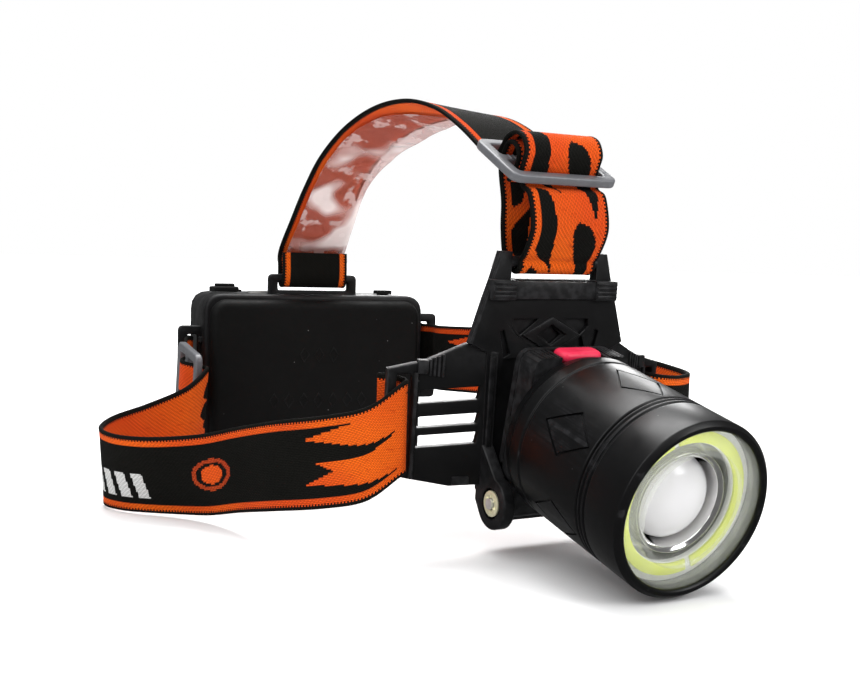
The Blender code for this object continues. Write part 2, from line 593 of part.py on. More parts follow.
def make_port_plug():
    """The rubber plug of the charging port, swung open beside it. It turns on its tie's bend."""
    y0, y1 = -2.6, 2.6
    low = -PLUG_AXIS_UP + GAP
    flap = box("port_plug", (-12.4, y0, low), (-0.6, y1, low + PLUG_T), plug_axis, RUBBER)
    stub = box("plug_stub", (-10.0, -0.8, low + PLUG_T - 0.2), (-3.6, 0.8, low + PLUG_T + 2.0), plug_axis, None,
               CUTTERS)
    combine(flap, "UNION", stub)


# ---------------------------------------------------------------- straps

def in_bracket(point):
    """A point of the bracket's frame in the object's frame."""
    place = Vector(LEAN_PIVOT)
    moved = Vector(point) - Vector((LEAN_PIVOT[0], LEAN_PIVOT[1], 0.0))
    return place + Matrix.Rotation(radians(LEAN), 3, "X") @ moved


def in_box(point):
    return Vector(BOX_PLACE) + Matrix.Rotation(radians(BOX_YAW), 3, "Z") @ Vector(point)


def slider_path(centre, along, normal):
    """Stations of webbing threaded under a tri-glide's end bars and over its middle bar."""
    centre, along, normal = Vector(centre), Vector(along).normalized(), Vector(normal).normalized()
    across = along.cross(normal)
    if across.z < 0:
        across = -across
    over = SLIDER[2] / 2 + WEB_T / 2 + GAP + 0.2
    inside = SLIDER[1] / 2 - SLIDER_BAR
    steps = ((inside + 3.6, -over), (inside - 0.2, -over), (inside / 2 + 0.8, 0.0), (SLIDER_BAR / 2 + 0.2, over))
    stations = [(-s, n) for s, n in steps] + [(s, n) for s, n in reversed(steps)]
    return [(centre + along * s + normal * n, across) for s, n in stations]


def place_slider(name, centre, along, normal):
    along, normal = Vector(along).normalized(), Vector(normal).normalized()
    made = tri_glide(name, root, GREY_PLASTIC)
    across = along.cross(normal)
    turn = Matrix((across, along, normal)).transposed().to_4x4()
    made.matrix_local = Matrix.Translation(Vector(centre) * MM) @ turn


UP = (0, 0, 1)


def wing_threading(side):
    """Stations through a wing's slot, from the folded end behind the wing to its front."""
    points = ((43.4, 16.0, 30.0), (40.6, 12.6, 30.0), (39.7, 9.0, 30.0), (40.4, 5.6, 29.8), (43.4, 2.7, 29.4))
    return [(in_bracket((side * x, y, z)), UP) for x, y, z in points]


def ear_threading(side, z):
    """Stations through a side ear of the battery case, from its front to the folded end behind."""
    points = ((6.0, 3.2), (3.3, 7.5), (3.0, 12.0), (5.6, 16.5))
    return [(in_box((side * (BOX_W / 2 + x), y, z)), UP) for x, y in points]


def make_right_strap():
    """The long slack strap: out of the wing slot, round its loop on the table and to the box ear."""
    # each point and how far the web's top edge leans outward there
    loop = [(-51.0, 4.2, 28.0, 0.0), (-59.0, 14.5, 24.6, 0.0), (-66.6, 29.0, 21.6, 0.0), (-71.0, 45.0, 18.0, 0.08),
            (-76.0, 57.2, 14.8, 0.16), (-82.8, 66.4, 13.3, 0.26), (-90.2, 73.2, 12.8, 0.3),
            (-96.4, 81.0, 12.8, 0.24), (-98.0, 91.0, 13.2, 0.1), (-92.2, 100.4, 14.7, 0.0),
            (-80.0, 105.4, 17.4, 0.0), (-67.0, 107.0, 22.2, 0.0)]
    stations = wing_threading(-1) + [(Vector(p), (-0.8 * out, -0.6 * out, 1.0)) for *p, out in loop]
    stations += slider_path(*RIGHT_SLIDER) + ear_threading(-1, 35.5)
    webbing("strap_right", stations, root, WEBBING, 3)


def make_left_strap():
    loop = [(51.0, 2.2, 33.6), (60.5, 8.0, 33.5), (66.5, 17.5, 33.6), (68.5, 30.0, 34.5), (66.5, 46.0, 36.5),
            (62.0, 62.0, 39.0)]
    stations = wing_threading(1) + [(Vector(p), UP) for p in loop]
    stations += slider_path(*LEFT_SLIDER)
    stations += [(in_box((BOX_W / 2 + 7.0, -6.0, 40.5)), UP)] + ear_threading(1, 40.5)
    webbing("strap_left", stations, root, WEBBING, 3)


def in_slider(slider, s, n):
    """A point by its distance along the webbing and out of the slider's plane."""
    centre, along, normal = (Vector(v) for v in slider)
    return centre + along.normalized() * s + normal.normalized() * n


def make_top_strap():
    """From the end looped on the slider's middle bar, down behind, round the bracket's bar, up and over."""
    across = (1, 0, 0)
    bar = in_bracket((0, PLATE_T / 2, STRAP_BAR_Z))
    wrap = STRAP_BAR_R + GAP + WEB_T / 2 + 0.1
    fold = [bar + Vector((0, wrap * sin(radians(a)), wrap * cos(radians(a)))) for a in
            (75, 120, 165, 195, 240, 285)]
    eye = ((-2.6, -4.4), (-4.0, 0.4), (-3.3, 3.8), (-0.2, 5.2), (2.6, 4.0), (3.3, 0.4), (2.4, -3.6))
    behind = ((-1.6, 0.9, 95.0), (-0.8, 2.0, 88.0), (-0.2, 1.6, 81.0))
    front = ((-0.6, -9.0, 81.5), (-1.4, -13.4, 88.0))
    roll = ((-13.6, -3.2), (-9.6, -2.7), (-7.0, -0.6), (-6.6, 2.9), (-6.2, 6.0), (-3.1, 8.3), (0.8, 7.9),
            (3.9, 5.2), (4.9, 1.8), (6.6, -1.6), (9.6, -2.7), (13.4, -2.9))
    stations = [(in_slider(TOP_SLIDER, *p), across) for p in eye]
    stations += [(Vector(p), across) for p in behind] + [(p, across) for p in fold]
    stations += [(Vector(p), across) for p in front]
    stations += [(in_slider(TOP_SLIDER, *p), across) for p in roll]
    arch = [((-4.0, 22.0, 117.0), (1, 0, 0)), ((-4.4, 36.0, 122.4), (1, 0.02, -0.06)),
            ((-5.0, 54.0, 125.2), (1, 0.06, -0.12)), ((-5.4, 75.0, 125.0), (1, 0.12, -0.10)),
            ((-6.2, 96.0, 120.6), (1, 0.18, -0.06)), ((-7.2, 113.0, 112.5), (1, 0.20, -0.02)),
            ((-8.0, 124.6, 102.5), (1, 0.2, 0)), ((-8.6, 133.0, 91.0), (1, 0.06, 0))]
    stations += [(Vector(p), Vector(d).normalized()) for p, d in arch]
    tail_across = Matrix.Rotation(radians(BOX_YAW), 3, "Z") @ Vector(across)
    threading = ((10.6, 16.0), (11.2, 10.5), (10.9, 6.5), (9.6, 3.7), (7.5, 3.0), (5.4, 3.7), (4.2, 6.5),
                 (4.1, 10.5), (4.6, 15.5))
    stations += [(in_box((0, y, BOX_H + z)), tail_across) for y, z in threading]
    webbing("strap_top", stations, root, WEBBING, 3)


# slider centre, direction along the webbing, and outward normal
RIGHT_SLIDER = ((-60.6, 126.0, 29.5), (0.02, 1.0, 0.16), (-1.0, 0.02, 0.0))
LEFT_SLIDER = ((55.0, 88.0, 41.0), (-0.42, 1.0, 0.03), (1.0, 0.42, 0.0))
TOP_SLIDER = ((-3.0, -3.4, 105.4), (0.0, 0.88, 0.47), (0.0, -0.47, 0.88))

tilt_matrix = Matrix.Rotation(radians(90 + LAMP_PITCH), 3, "X")
HINGE_IN_LAMP = tilt_matrix.transposed() @ (Vector(HINGE) - Vector(LAMP_FRONT))
BUTTON_MIDDLE = -(HOUSING_S[0] + HOUSING_S[1]) / 2 - 0.2
press = empty("button_axis", (0, HOUSING_T[1], BUTTON_MIDDLE), lamp)
plug_axis = empty("plug_axis", (PORT_X - 6.6, PORT_Y, BOX_H + PLUG_AXIS_UP), case_frame)

make_bracket()
make_hinge()
make_barrel()
make_inner_head()
make_housing()
make_button()
make_case()
make_cover()
make_box_insides()
make_pad()
make_port_plug()
make_right_strap()
make_left_strap()
make_top_strap()
for slider_name, slider in (("slider_right", RIGHT_SLIDER), ("slider_left", LEFT_SLIDER),
                            ("slider_top", TOP_SLIDER)):
    place_slider(slider_name, *slider)


def centre_on_table():
    """Move the whole headlamp so that the origin lies under the middle of its box."""
    bpy.context.view_layer.update()
    graph = bpy.context.evaluated_depsgraph_get()
    points = []
    for thing in PARTS.objects:
        shape = thing.evaluated_get(graph)
        points += [shape.matrix_world @ vertex.co for vertex in shape.to_mesh().vertices]
        shape.to_mesh_clear()
    root.location = [-(min(p[i] for p in points) + max(p[i] for p in points)) / 2 for i in (0, 1)] + [0.0]


centre_on_table()
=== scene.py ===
"""Looks of the zoom headlamp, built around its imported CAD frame.

Shapes are given in millimetres in the frames of the CAD: the bracket's upright frame, the
lamp's (s backwards from the rim is -z), the battery box's, and the table's for the straps.
"""
import json
from functools import partial
from math import cos, sin, radians, pi
import bmesh
import bpy
import numpy as np
from mathutils import Matrix, Vector


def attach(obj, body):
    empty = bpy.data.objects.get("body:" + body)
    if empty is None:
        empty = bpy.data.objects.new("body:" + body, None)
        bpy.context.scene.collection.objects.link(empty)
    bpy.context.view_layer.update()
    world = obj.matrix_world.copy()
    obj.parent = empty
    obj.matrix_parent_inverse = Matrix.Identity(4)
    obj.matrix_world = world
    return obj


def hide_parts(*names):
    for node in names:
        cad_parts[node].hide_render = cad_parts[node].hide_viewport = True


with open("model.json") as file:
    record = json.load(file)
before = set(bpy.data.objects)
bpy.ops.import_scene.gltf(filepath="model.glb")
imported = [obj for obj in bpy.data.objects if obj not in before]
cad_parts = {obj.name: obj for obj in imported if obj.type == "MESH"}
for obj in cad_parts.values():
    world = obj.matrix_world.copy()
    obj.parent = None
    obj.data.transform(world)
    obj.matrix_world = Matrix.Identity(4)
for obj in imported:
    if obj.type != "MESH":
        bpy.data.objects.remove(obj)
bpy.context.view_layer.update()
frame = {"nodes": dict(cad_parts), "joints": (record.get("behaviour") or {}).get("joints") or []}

MM = 0.001
CAD = frame["nodes"]
JOINTS = {joint["name"]: joint for joint in frame["joints"]}

# ---------------------------------------------------------------- the CAD's own measures
LEAN, LEAN_PIVOT = 4.0, Vector((0, -63.0, 0.35))
PLATE_T = 3.2
WING_ROOT_X, WING_SWEEP = 18.0, 16.5
SLOT_X, SLOT_Z = (38.8, 42.6), (16.8, 43.6)
EAR_X, EAR_R = (16.0, 19.5), 7.0
HINGE = Vector((0, -6.0, 10.3))
STRAP_BAR_Z, STRAP_BAR_R = 74.2, 1.6
LAMP_FRONT, LAMP_PITCH = Vector((0, -63.0, 22.2)), 9.6
LAMP_R, GLASS_R, BEZEL_S, BARREL_S, BORE_R = 22.5, 20.0, 15.6, 49.7, 20.0
HOUSING_TOP = 20.6
BUTTON_SIZE, BUTTON_Z = (13.4, 6.0), -54.2
BOX_PLACE, BOX_YAW = Vector((-8.3, 135.5, 0)), -8.0
BOX_W, BOX_D, BOX_H, BOX_R, WALL = 84.0, 27.0, 64.0, 7.0, 2.0
PAD_W, PAD_H, PAD_T = 80.0, 60.0, 4.0
PORT_X, PORT_Y = -19.0, 12.25
WEB_W, WEB_T = 25.0, 1.2
SLIDER, SLIDER_BAR = (33.5, 23.0, 2.4), 3.2
RIGHT_SLIDER = ((-60.6, 126.0, 29.5), (0.02, 1.0, 0.16), (-1.0, 0.02, 0.0))
LEFT_SLIDER = ((55.0, 88.0, 41.0), (-0.42, 1.0, 0.03), (1.0, 0.42, 0.0))
TOP_SLIDER = ((-3.0, -3.4, 105.4), (0.0, 0.88, 0.47), (0.0, -0.47, 0.88))


def turn(degrees, axis):
    return Matrix.Rotation(radians(degrees), 4, axis)


def add_object(name, data):
    made = bpy.data.objects.new(name, data)
    bpy.context.scene.collection.objects.link(made)
    return made


def as_mesh(name, bm):
    mesh = bpy.data.meshes.new(name)
    bm.to_mesh(mesh)
    bm.free()
    return mesh


def evaluated_shape(thing):
    """The object's evaluated mesh as a bmesh."""
    bpy.context.view_layer.update()
    mesh = bpy.data.meshes.new_from_object(thing.evaluated_get(bpy.context.evaluated_depsgraph_get()))
    bm = bmesh.new()
    bm.from_mesh(mesh)
    bpy.data.meshes.remove(mesh)
    return bm


LEANING = (Matrix.Translation(LEAN_PIVOT) @ turn(LEAN, "X")
           @ Matrix.Translation((0, -LEAN_PIVOT.y, 0)))
TABLE = Matrix.Translation(Vector(JOINTS["lamp_tilt"]["pos_m"]) / MM - LEANING @ HINGE)
BRACKET = TABLE @ LEANING
LAMP = BRACKET @ Matrix.Translation(LAMP_FRONT) @ turn(90 + LAMP_PITCH, "X")
CASE = TABLE @ Matrix.Translation(BOX_PLACE) @ turn(BOX_YAW, "Z")


# ---------------------------------------------------------------- camera, floor and lights
CAMERA_AT = Vector((-183.603, -265.322, 80.281))       # in the table's frame
CAMERA_TURN = (-29.206, 4.694, 1.547)                  # azimuth, elevation and roll
CAMERA_LENS = 48.8145


def make_camera():
    a, e, r = (radians(v) for v in CAMERA_TURN)
    back = Vector((sin(a) * cos(e), -cos(a) * cos(e), sin(e)))
    right = Vector((cos(a), sin(a), 0))
    up = back.cross(right)
    right, up = cos(r) * right + sin(r) * up, cos(r) * up - sin(r) * right
    data = bpy.data.cameras.new("camera")
    data.lens, data.sensor_width, data.clip_start = CAMERA_LENS, 36.0, 0.01
    camera = add_object("camera", data)
    turned_to = Matrix((right, up, back)).transposed().to_4x4()
    camera.matrix_world = Matrix.Translation((TABLE @ CAMERA_AT) * MM) @ turned_to
    bpy.context.scene.camera = camera


def area_light(name, place, target, size, power):
    data = bpy.data.lights.new(name, "AREA")
    data.shape, data.size, data.size_y = "RECTANGLE", *size
    data.energy = power
    light = add_object(name, data)
    light.location = place
    light.rotation_euler = (Vector(target) - Vector(place)).to_track_quat("-Z", "Y").to_euler()


WORLD_LIGHT = (0.30, (0.96, 0.98, 1)), (0.18, (0.8, 0.8, 0.8)), (1.0, (1, 1, 1))


def make_world():
    """White to the camera, soft light on the object, and dimmer in reflections."""
    world = bpy.data.worlds.new("studio")
    bpy.context.scene.world = world
    world.use_nodes = True
    tree = world.node_tree
    tree.nodes.clear()
    shown, dim, white = (add_node(tree, "Background", {"Color": colour, "Strength": strength}).outputs[0]
                         for strength, colour in WORLD_LIGHT)
    rays = add_node(tree, "LightPath")
    for kind, other in (("Is Glossy Ray", dim), ("Is Camera Ray", white)):
        mix = add_node(tree, "MixShader")
        for socket, source in zip(mix.inputs, (rays.outputs[kind], shown, other)):
            tree.links.new(source, socket)
        shown = mix.outputs[0]
    add_node(tree, "OutputWorld", {"Surface": shown})


def make_floor():
    """White paper that glows away from the object, so that it runs into the white behind."""
    bm = bmesh.new()
    bmesh.ops.create_circle(bm, cap_ends=True, segments=96, radius=8.0)
    mesh = as_mesh("floor", bm)
    look, tree = new_look("floor_paper")
    put(tree, "Base Color", (0.93, 0.93, 0.93))
    put(tree, "Roughness", 0.9)
    put(tree, "Specular IOR Level", 0.1)
    apart = add_node(tree, "VectorMath", {"Vector": object_place(tree)}, operation="LENGTH").outputs["Value"]
    put(tree, "Emission Color", (1, 1, 1))
    put(tree, "Emission Strength", ramp(tree, apart, 0.35, 1.1, 0.0, 0.8))
    mesh.materials.append(look)
    floor = add_object("floor", mesh)
    floor.visible_glossy = False


def make_lights():
    soft = bpy.data.lights.new("soft_sky", "SUN")
    soft.energy, soft.angle, soft.specular_factor = 2.3, radians(70), 0.1
    add_object("soft_sky", soft).rotation_euler = (radians(12), radians(-14), 0)
    area_light("key_top", (0.15, 0.3, 0.92), (0, -0.05, 0.03), (0.6, 0.45), 9.0)
    area_light("side_left", (-0.95, -0.35, 0.55), (0, 0, 0.06), (0.5, 0.7), 3.0)
    area_light("front_right", (0.45, -0.85, 0.5), (0, -0.05, 0.05), (0.4, 0.5), 4.5)
    area_light("rear_rim", (0.6, 0.8, 0.45), (0, 0, 0.05), (0.5, 0.35), 5.0)
    bpy.context.scene.view_settings.view_transform = "Standard"


# ---------------------------------------------------------------- materials
def new_look(name):
    made = bpy.data.materials.new(name)
    made.use_nodes = True
    return made, made.node_tree


def feed(tree, socket, value):
    """Set a socket to a number or colour, or join it to another node's output."""
    if isinstance(value, bpy.types.NodeSocket):
        tree.links.new(value, socket)
    elif hasattr(value, "__len__") and len(value) == 3 and len(socket.default_value) == 4:
        socket.default_value = (*value, 1.0)
    else:
        socket.default_value = value


def put(tree, name, value):
    """Feed one of the surface shader's sockets."""
    feed(tree, tree.nodes["Principled BSDF"].inputs[name], value)


def add_node(tree, kind, inputs=(), **settings):
    """A shader node with its properties set and its named sockets fed."""
    node = tree.nodes.new("ShaderNode" + kind)
    for name, value in settings.items():
        setattr(node, name, value)
    for name, value in dict(inputs).items():
        feed(tree, node.inputs[name], value)
    return node


def math_node(tree, kind, *values):
    node = add_node(tree, "Math", operation=kind)
    for socket, value in zip(node.inputs, values):
        feed(tree, socket, value)
    return node.outputs[0]


def times(tree, a, b):
    return math_node(tree, "MULTIPLY", a, b)


def mix_colour(tree, share, first, second, blend="MIX"):
    node = add_node(tree, "Mix", data_type="RGBA", blend_type=blend)
    for name, value in (("Factor_Float", share), ("A_Color", first), ("B_Color", second)):
        feed(tree, next(s for s in node.inputs if s.identifier == name), value)
    return next(s for s in node.outputs if s.identifier == "Result_Color")


def ramp(tree, value, low, high, start=0.0, end=1.0):
    sockets = {"Value": value, "From Min": low, "From Max": high, "To Min": start, "To Max": end}
    return add_node(tree, "MapRange", sockets).outputs[0]


def object_place(tree, scale=(1, 1, 1)):
    place = add_node(tree, "TexCoord").outputs["Object"]
    if scale == (1, 1, 1):
        return place
    return add_node(tree, "Mapping", {"Vector": place, "Scale": scale}).outputs[0]


def noise(tree, size_mm, detail=3.0, rough=0.5, place=None):
    sockets = {"Vector": place or object_place(tree), "Scale": 1 / (size_mm * MM), "Detail": detail,
               "Roughness": rough}
    return add_node(tree, "TexNoise", sockets).outputs["Fac"]


def bump(tree, height, depth_mm, strength=1.0):
    sockets = {"Height": height, "Distance": depth_mm * MM, "Strength": strength}
    return add_node(tree, "Bump", sockets).outputs[0]


def edge_wear(tree):
    return ramp(tree, add_node(tree, "NewGeometry").outputs["Pointiness"], 0.515, 0.56)


SPECK_MM, TRACK_MM = 3.4, 9.0     # spacing of dust specks and of a circuit board's tracks


def solid_look(name, colour, roughness, metallic=0.0, grain_mm=0.5, grain_depth=0.02, wear=1.8,
               specular=0.5, spread=0.10, dust=0.0, brushed=None):
    """A hard or rubbery material: mottled colour, uneven gloss, fine grain and worn edges."""
    made, tree = new_look(name)
    cloud = noise(tree, 9.0, 4.0)
    dark = tuple(c * 0.82 for c in colour)
    light = tuple(min(1.0, c * 1.18) for c in colour)
    base = mix_colour(tree, cloud, dark, light)
    worn = times(tree, edge_wear(tree), ramp(tree, noise(tree, 2.2), 0.42, 0.62, 0.25, 0.9))
    base = mix_colour(tree, worn, base, tuple(min(1.0, c * wear + 0.004) for c in colour))
    if dust:
        speck = add_node(tree, "TexVoronoi", {"Vector": object_place(tree), "Scale": 1 / (SPECK_MM * MM)})
        near = ramp(tree, speck.outputs["Distance"], 0.035, 0.06, 1.0, 0.0)
        rare = ramp(tree, noise(tree, 7.0, 1.0), 0.56, 0.6)
        shown = times(tree, times(tree, near, rare), dust)
        base = mix_colour(tree, shown, base, (0.35, 0.35, 0.34))
    put(tree, "Base Color", base)
    smear = ramp(tree, noise(tree, 5.0, 5.0, 0.6), 0.3, 0.7, roughness - spread, roughness + spread)
    put(tree, "Roughness", smear)
    put(tree, "Metallic", metallic)
    put(tree, "Specular IOR Level", specular)
    place = object_place(tree, brushed) if brushed else None
    grain = noise(tree, grain_mm, 2.0, 0.6, place)
    put(tree, "Normal", bump(tree, grain, grain_depth))
    return made


def clear_look(name, tint, roughness, scratches, clarity):
    made, tree = new_look(name)
    haze = noise(tree, 6.0, 5.0)
    put(tree, "Base Color", mix_colour(tree, haze, tint, tuple(c * 0.97 for c in tint)))
    put(tree, "Roughness", ramp(tree, haze, 0.35, 0.75, roughness, roughness + 0.03))
    put(tree, "Transmission Weight", clarity)
    put(tree, "IOR", 1.49)
    put(tree, "Normal", bump(tree, noise(tree, 3.0, 1.0), scratches))
    return made


def pane_look(name, clearest, haziest):
    """Thin clear plastic: what lies behind shows through a faint haze and a clean reflection."""
    made, tree = new_look(name)
    haze = noise(tree, 5.0, 4.0)
    put(tree, "Base Color", mix_colour(tree, haze, (0.86, 0.89, 0.80), (0.93, 0.95, 0.9)))
    put(tree, "Roughness", ramp(tree, haze, 0.3, 0.7, 0.03, 0.07))
    put(tree, "Alpha", ramp(tree, haze, 0.3, 0.7, clearest, haziest))
    put(tree, "Coat Weight", 0.6)
    put(tree, "Coat Roughness", 0.03)
    return made


def film_look(name):
    """Clear packing film over the inside of the top strap, crinkled where it bunches; its whitish patches and
    whiter creases are painted reflections.
    """
    made, tree = new_look(name)
    place = object_place(tree, (0.8, 0.7, 0.9))
    veil = noise(tree, 17.0, 1.6, 0.45, place)
    # painted reflection: whitish patches, and whiter creases as painted glints, lighten the film's colour and
    # make it less clear
    glare_patch = ramp(tree, veil, 0.50, 0.60)
    crease = ramp(tree, noise(tree, 6.0, 2.0, 0.5, place), 0.56, 0.6)
    white = math_node(tree, "MAXIMUM", glare_patch, times(tree, crease, 0.5))
    put(tree, "Base Color", mix_colour(tree, white, (0.44, 0.12, 0.085), (0.93, 0.84, 0.82)))
    put(tree, "Roughness", ramp(tree, veil, 0.3, 0.7, 0.14, 0.28))
    put(tree, "Alpha", ramp(tree, white, 0.0, 1.0, 0.42, 0.66))
    put(tree, "Coat Weight", 0.7)
    put(tree, "Coat Roughness", 0.08)
    put(tree, "Normal", bump(tree, veil, 0.8, 0.5))
    return made


YARN_MM, FLOAT_MM = 0.46, 1.3


def weave_look(name):
    """Jacquard webbing. In the mesh's yarn colours red means orange on top, green white and blue dull."""
    made, tree = new_look(name)
    place = add_node(tree, "UVMap", uv_map="weave").outputs[0]
    split = add_node(tree, "SeparateXYZ", {"Vector": place})
    along, across = (times(tree, split.outputs[axis], 1 / MM) for axis in "XY")
    row = math_node(tree, "DIVIDE", across, YARN_MM)
    lane = math_node(tree, "FLOOR", row)
    step = math_node(tree, "ADD", math_node(tree, "DIVIDE", along, FLOAT_MM),
                     times(tree, lane, 0.37))
    float_in = math_node(tree, "FRACT", step)
    yarn = math_node(tree, "SINE", times(tree, math_node(tree, "FRACT", row), pi))
    bulge = math_node(tree, "POWER", math_node(tree, "SINE", times(tree, float_in, pi)), 0.45)
    relief = times(tree, yarn, bulge)
    which = add_node(tree, "Attribute", attribute_name="yarn").outputs["Color"]
    parts = add_node(tree, "SeparateColor", {"Color": which})
    slow = noise(tree, 16.0, 3.0)
    fuzz = noise(tree, 0.7, 3.0, 0.7)
    broad = ramp(tree, noise(tree, 42.0, 1.5), 0.42, 0.60)
    redder = mix_colour(tree, slow, (0.58, 0.054, 0.008), (0.78, 0.092, 0.012))
    yellower = mix_colour(tree, slow, (0.68, 0.088, 0.007), (0.88, 0.150, 0.010))
    orange = mix_colour(tree, broad, redder, yellower)
    black = mix_colour(tree, slow, (0.0045, 0.0045, 0.0036), (0.009, 0.0086, 0.007))
    dull = mix_colour(tree, 0.55, orange, (0.12, 0.012, 0.012))
    streak = noise(tree, 3.0, 4.0, 0.65, object_place(tree, (1, 1, 3)))
    fleck = ramp(tree, streak, 0.60, 0.67, 0.0, 0.55)
    orange = mix_colour(tree, fleck, orange, (0.50, 0.045, 0.004))
    colour = mix_colour(tree, parts.outputs["Red"], black, orange)
    colour = mix_colour(tree, parts.outputs["Blue"], colour, dull)
    colour = mix_colour(tree, parts.outputs["Green"], colour, (0.62, 0.62, 0.61))
    # painted shade: the base colour is darkened between yarns and towards each float's ends, as shade in the
    # weave's grooves, with a random fuzz tone mixed in
    painted_yarn_shade = ramp(tree, times(tree, relief, ramp(tree, fuzz, 0.2, 0.8, 0.75, 1.1)), 0.0, 0.9,
                 0.40, 1.10)
    grey = add_node(tree, "CombineColor", {"Red": painted_yarn_shade, "Green": painted_yarn_shade, "Blue": painted_yarn_shade}).outputs[0]
    put(tree, "Base Color", mix_colour(tree, 1.0, colour, grey, "MULTIPLY"))
    put(tree, "Roughness", ramp(tree, fuzz, 0.3, 0.7, 0.72, 0.92))
    put(tree, "Specular IOR Level", 0.06)
    put(tree, "Sheen Weight", 0.012)
    put(tree, "Sheen Roughness", 0.45)
    raised = math_node(tree, "ADD", relief, times(tree, fuzz, 0.35))
    put(tree, "Normal", bump(tree, raised, 0.16, 0.85))
    return made


def board_look(name, mask, copper):
    """Circuit board: solder mask with copper tracks showing as faint ridges under it."""
    made, tree = new_look(name)
    sockets = {"Vector": object_place(tree), "Scale": 1 / (TRACK_MM * MM), "Mortar Size": 0.06}
    track = add_node(tree, "TexBrick", sockets).outputs["Fac"]
    base = mix_colour(tree, track, mask, copper)
    put(tree, "Base Color", mix_colour(tree, noise(tree, 4.0), base, mask))
    put(tree, "Roughness", ramp(tree, noise(tree, 2.0), 0.3, 0.7, 0.3, 0.5))
    put(tree, "Normal", bump(tree, track, 0.05))
    return made


def phosphor_with_painted_glow_look(name):
    """The chip-on-board ring: yellow-green phosphor gel, grainy and slightly glossy, with a faint painted
    glow although the LED is not lit.
    """
    made, tree = new_look(name)
    speckle = noise(tree, 0.35, 3.0, 0.7)
    body = mix_colour(tree, noise(tree, 4.0), (0.50, 0.57, 0.006), (0.62, 0.69, 0.014))
    bright = ramp(tree, speckle, 0.45, 0.7)
    put(tree, "Base Color", mix_colour(tree, bright, body, (0.66, 0.72, 0.07)))
    put(tree, "Roughness", ramp(tree, speckle, 0.3, 0.7, 0.35, 0.55))
    # painted glow: a faint emission brightens the unlit phosphor
    put(tree, "Emission Color", (0.62, 0.72, 0.02))
    put(tree, "Emission Strength", 0.15)
    put(tree, "Normal", bump(tree, speckle, 0.03))
    return made


LOOK = {
    "plastic": solid_look("moulded_black_plastic", (0.0042, 0.0042, 0.0045), 0.42, grain_mm=0.45,
                          grain_depth=0.03, wear=4.0, specular=0.2, dust=0.15),
    "anodised": solid_look("black_anodised_metal", (0.0028, 0.0028, 0.0031), 0.34, grain_mm=0.22,
                           grain_depth=0.006, wear=5.0, specular=0.24, spread=0.05, dust=0.2),
    "rubber": solid_look("black_rubber", (0.0046, 0.0047, 0.0046), 0.6, grain_mm=0.6, grain_depth=0.03,
                         wear=2.6, specular=0.09, dust=0.6),
    "button": solid_look("red_silicone", (0.78, 0.022, 0.075), 0.46, grain_mm=0.8, grain_depth=0.02,
                         wear=1.1, specular=0.4),
    "grey": solid_look("grey_moulded_plastic", (0.095, 0.097, 0.105), 0.38, grain_mm=0.5, grain_depth=0.03,
                       wear=1.7, specular=0.6),
    "chrome": solid_look("bright_chrome", (0.86, 0.85, 0.84), 0.11, 1.0, 1.2, 0.01, 1.05, spread=0.03),
    "zinc": solid_look("yellow_zinc_plate", (0.74, 0.72, 0.50), 0.4, 0.55, 0.6, 0.02, 1.2, spread=0.08),
    "steel": solid_look("plain_steel", (0.62, 0.62, 0.61), 0.36, 0.7, 0.5, 0.02, 1.2, spread=0.08,
                        brushed=(1, 6, 1)),
    "aluminium": solid_look("turned_aluminium", (0.66, 0.66, 0.68), 0.36, 1.0, 0.4, 0.02, 1.15,
                            brushed=(1, 8, 1)),
    "white": solid_look("white_solder_mask", (0.74, 0.75, 0.72), 0.42, grain_mm=0.6, grain_depth=0.02,
                        wear=1.05),
    "board": board_look("green_circuit_board", (0.012, 0.11, 0.04), (0.05, 0.22, 0.07)),
    "phosphor": phosphor_with_painted_glow_look("cob_phosphor_painted_glow"),
    # painted reflection: the clear lens is given a white diffuse share that stands in for the studio's white
    # reflection in it
    "lens": clear_look("lens_plastic_painted_white_reflection", (0.99, 0.98, 0.99), 0.03, 0.004, 0.42),
    "pane": pane_look("clear_window_plastic", 0.10, 0.15),
    "tube": pane_look("hazy_window_plastic", 0.13, 0.18),
    "film": film_look("clear_packing_film"),
    "wrap": solid_look("cell_sleeve", (0.03, 0.16, 0.45), 0.3, grain_mm=2.0, grain_depth=0.03, wear=1.4),
    "weave": weave_look("jacquard_webbing"),
}


# ---------------------------------------------------------------- mesh helpers
def moved(bm, place):
    if place:
        bmesh.ops.transform(bm, matrix=place, verts=bm.verts)
    return bm


def fixed(bm):
    bmesh.ops.recalc_face_normals(bm, faces=bm.faces)
    return bm


def outward(bm):
    """Turn a shape that is inside out."""
    if bm.calc_volume(signed=True) < 0:
        bmesh.ops.reverse_faces(bm, faces=bm.faces)
    return bm


def rounded(points, radius, steps=4):
    """The closed outline with each corner cut to an arc of the radius."""
    out = []
    for i, corner in enumerate(points):
        corner = Vector(corner)
        to_before = Vector(points[i - 1]) - corner
        to_after = Vector(points[(i + 1) % len(points)]) - corner
        cut = min(radius, to_before.length * 0.45, to_after.length * 0.45)
        a, b = corner + to_before.normalized() * cut, corner + to_after.normalized() * cut
        for k in range(steps + 1):
            u = k / steps
            out.append(tuple(a * (1 - u) ** 2 + corner * 2 * u * (1 - u) + b * u ** 2))
    return out


def rectangle(x0, x1, z0, z1):
    return [(x0, z0), (x1, z0), (x1, z1), (x0, z1)]


def mirrored(points):
    return list(points) + [(-x, z) for x, z in reversed(points)]


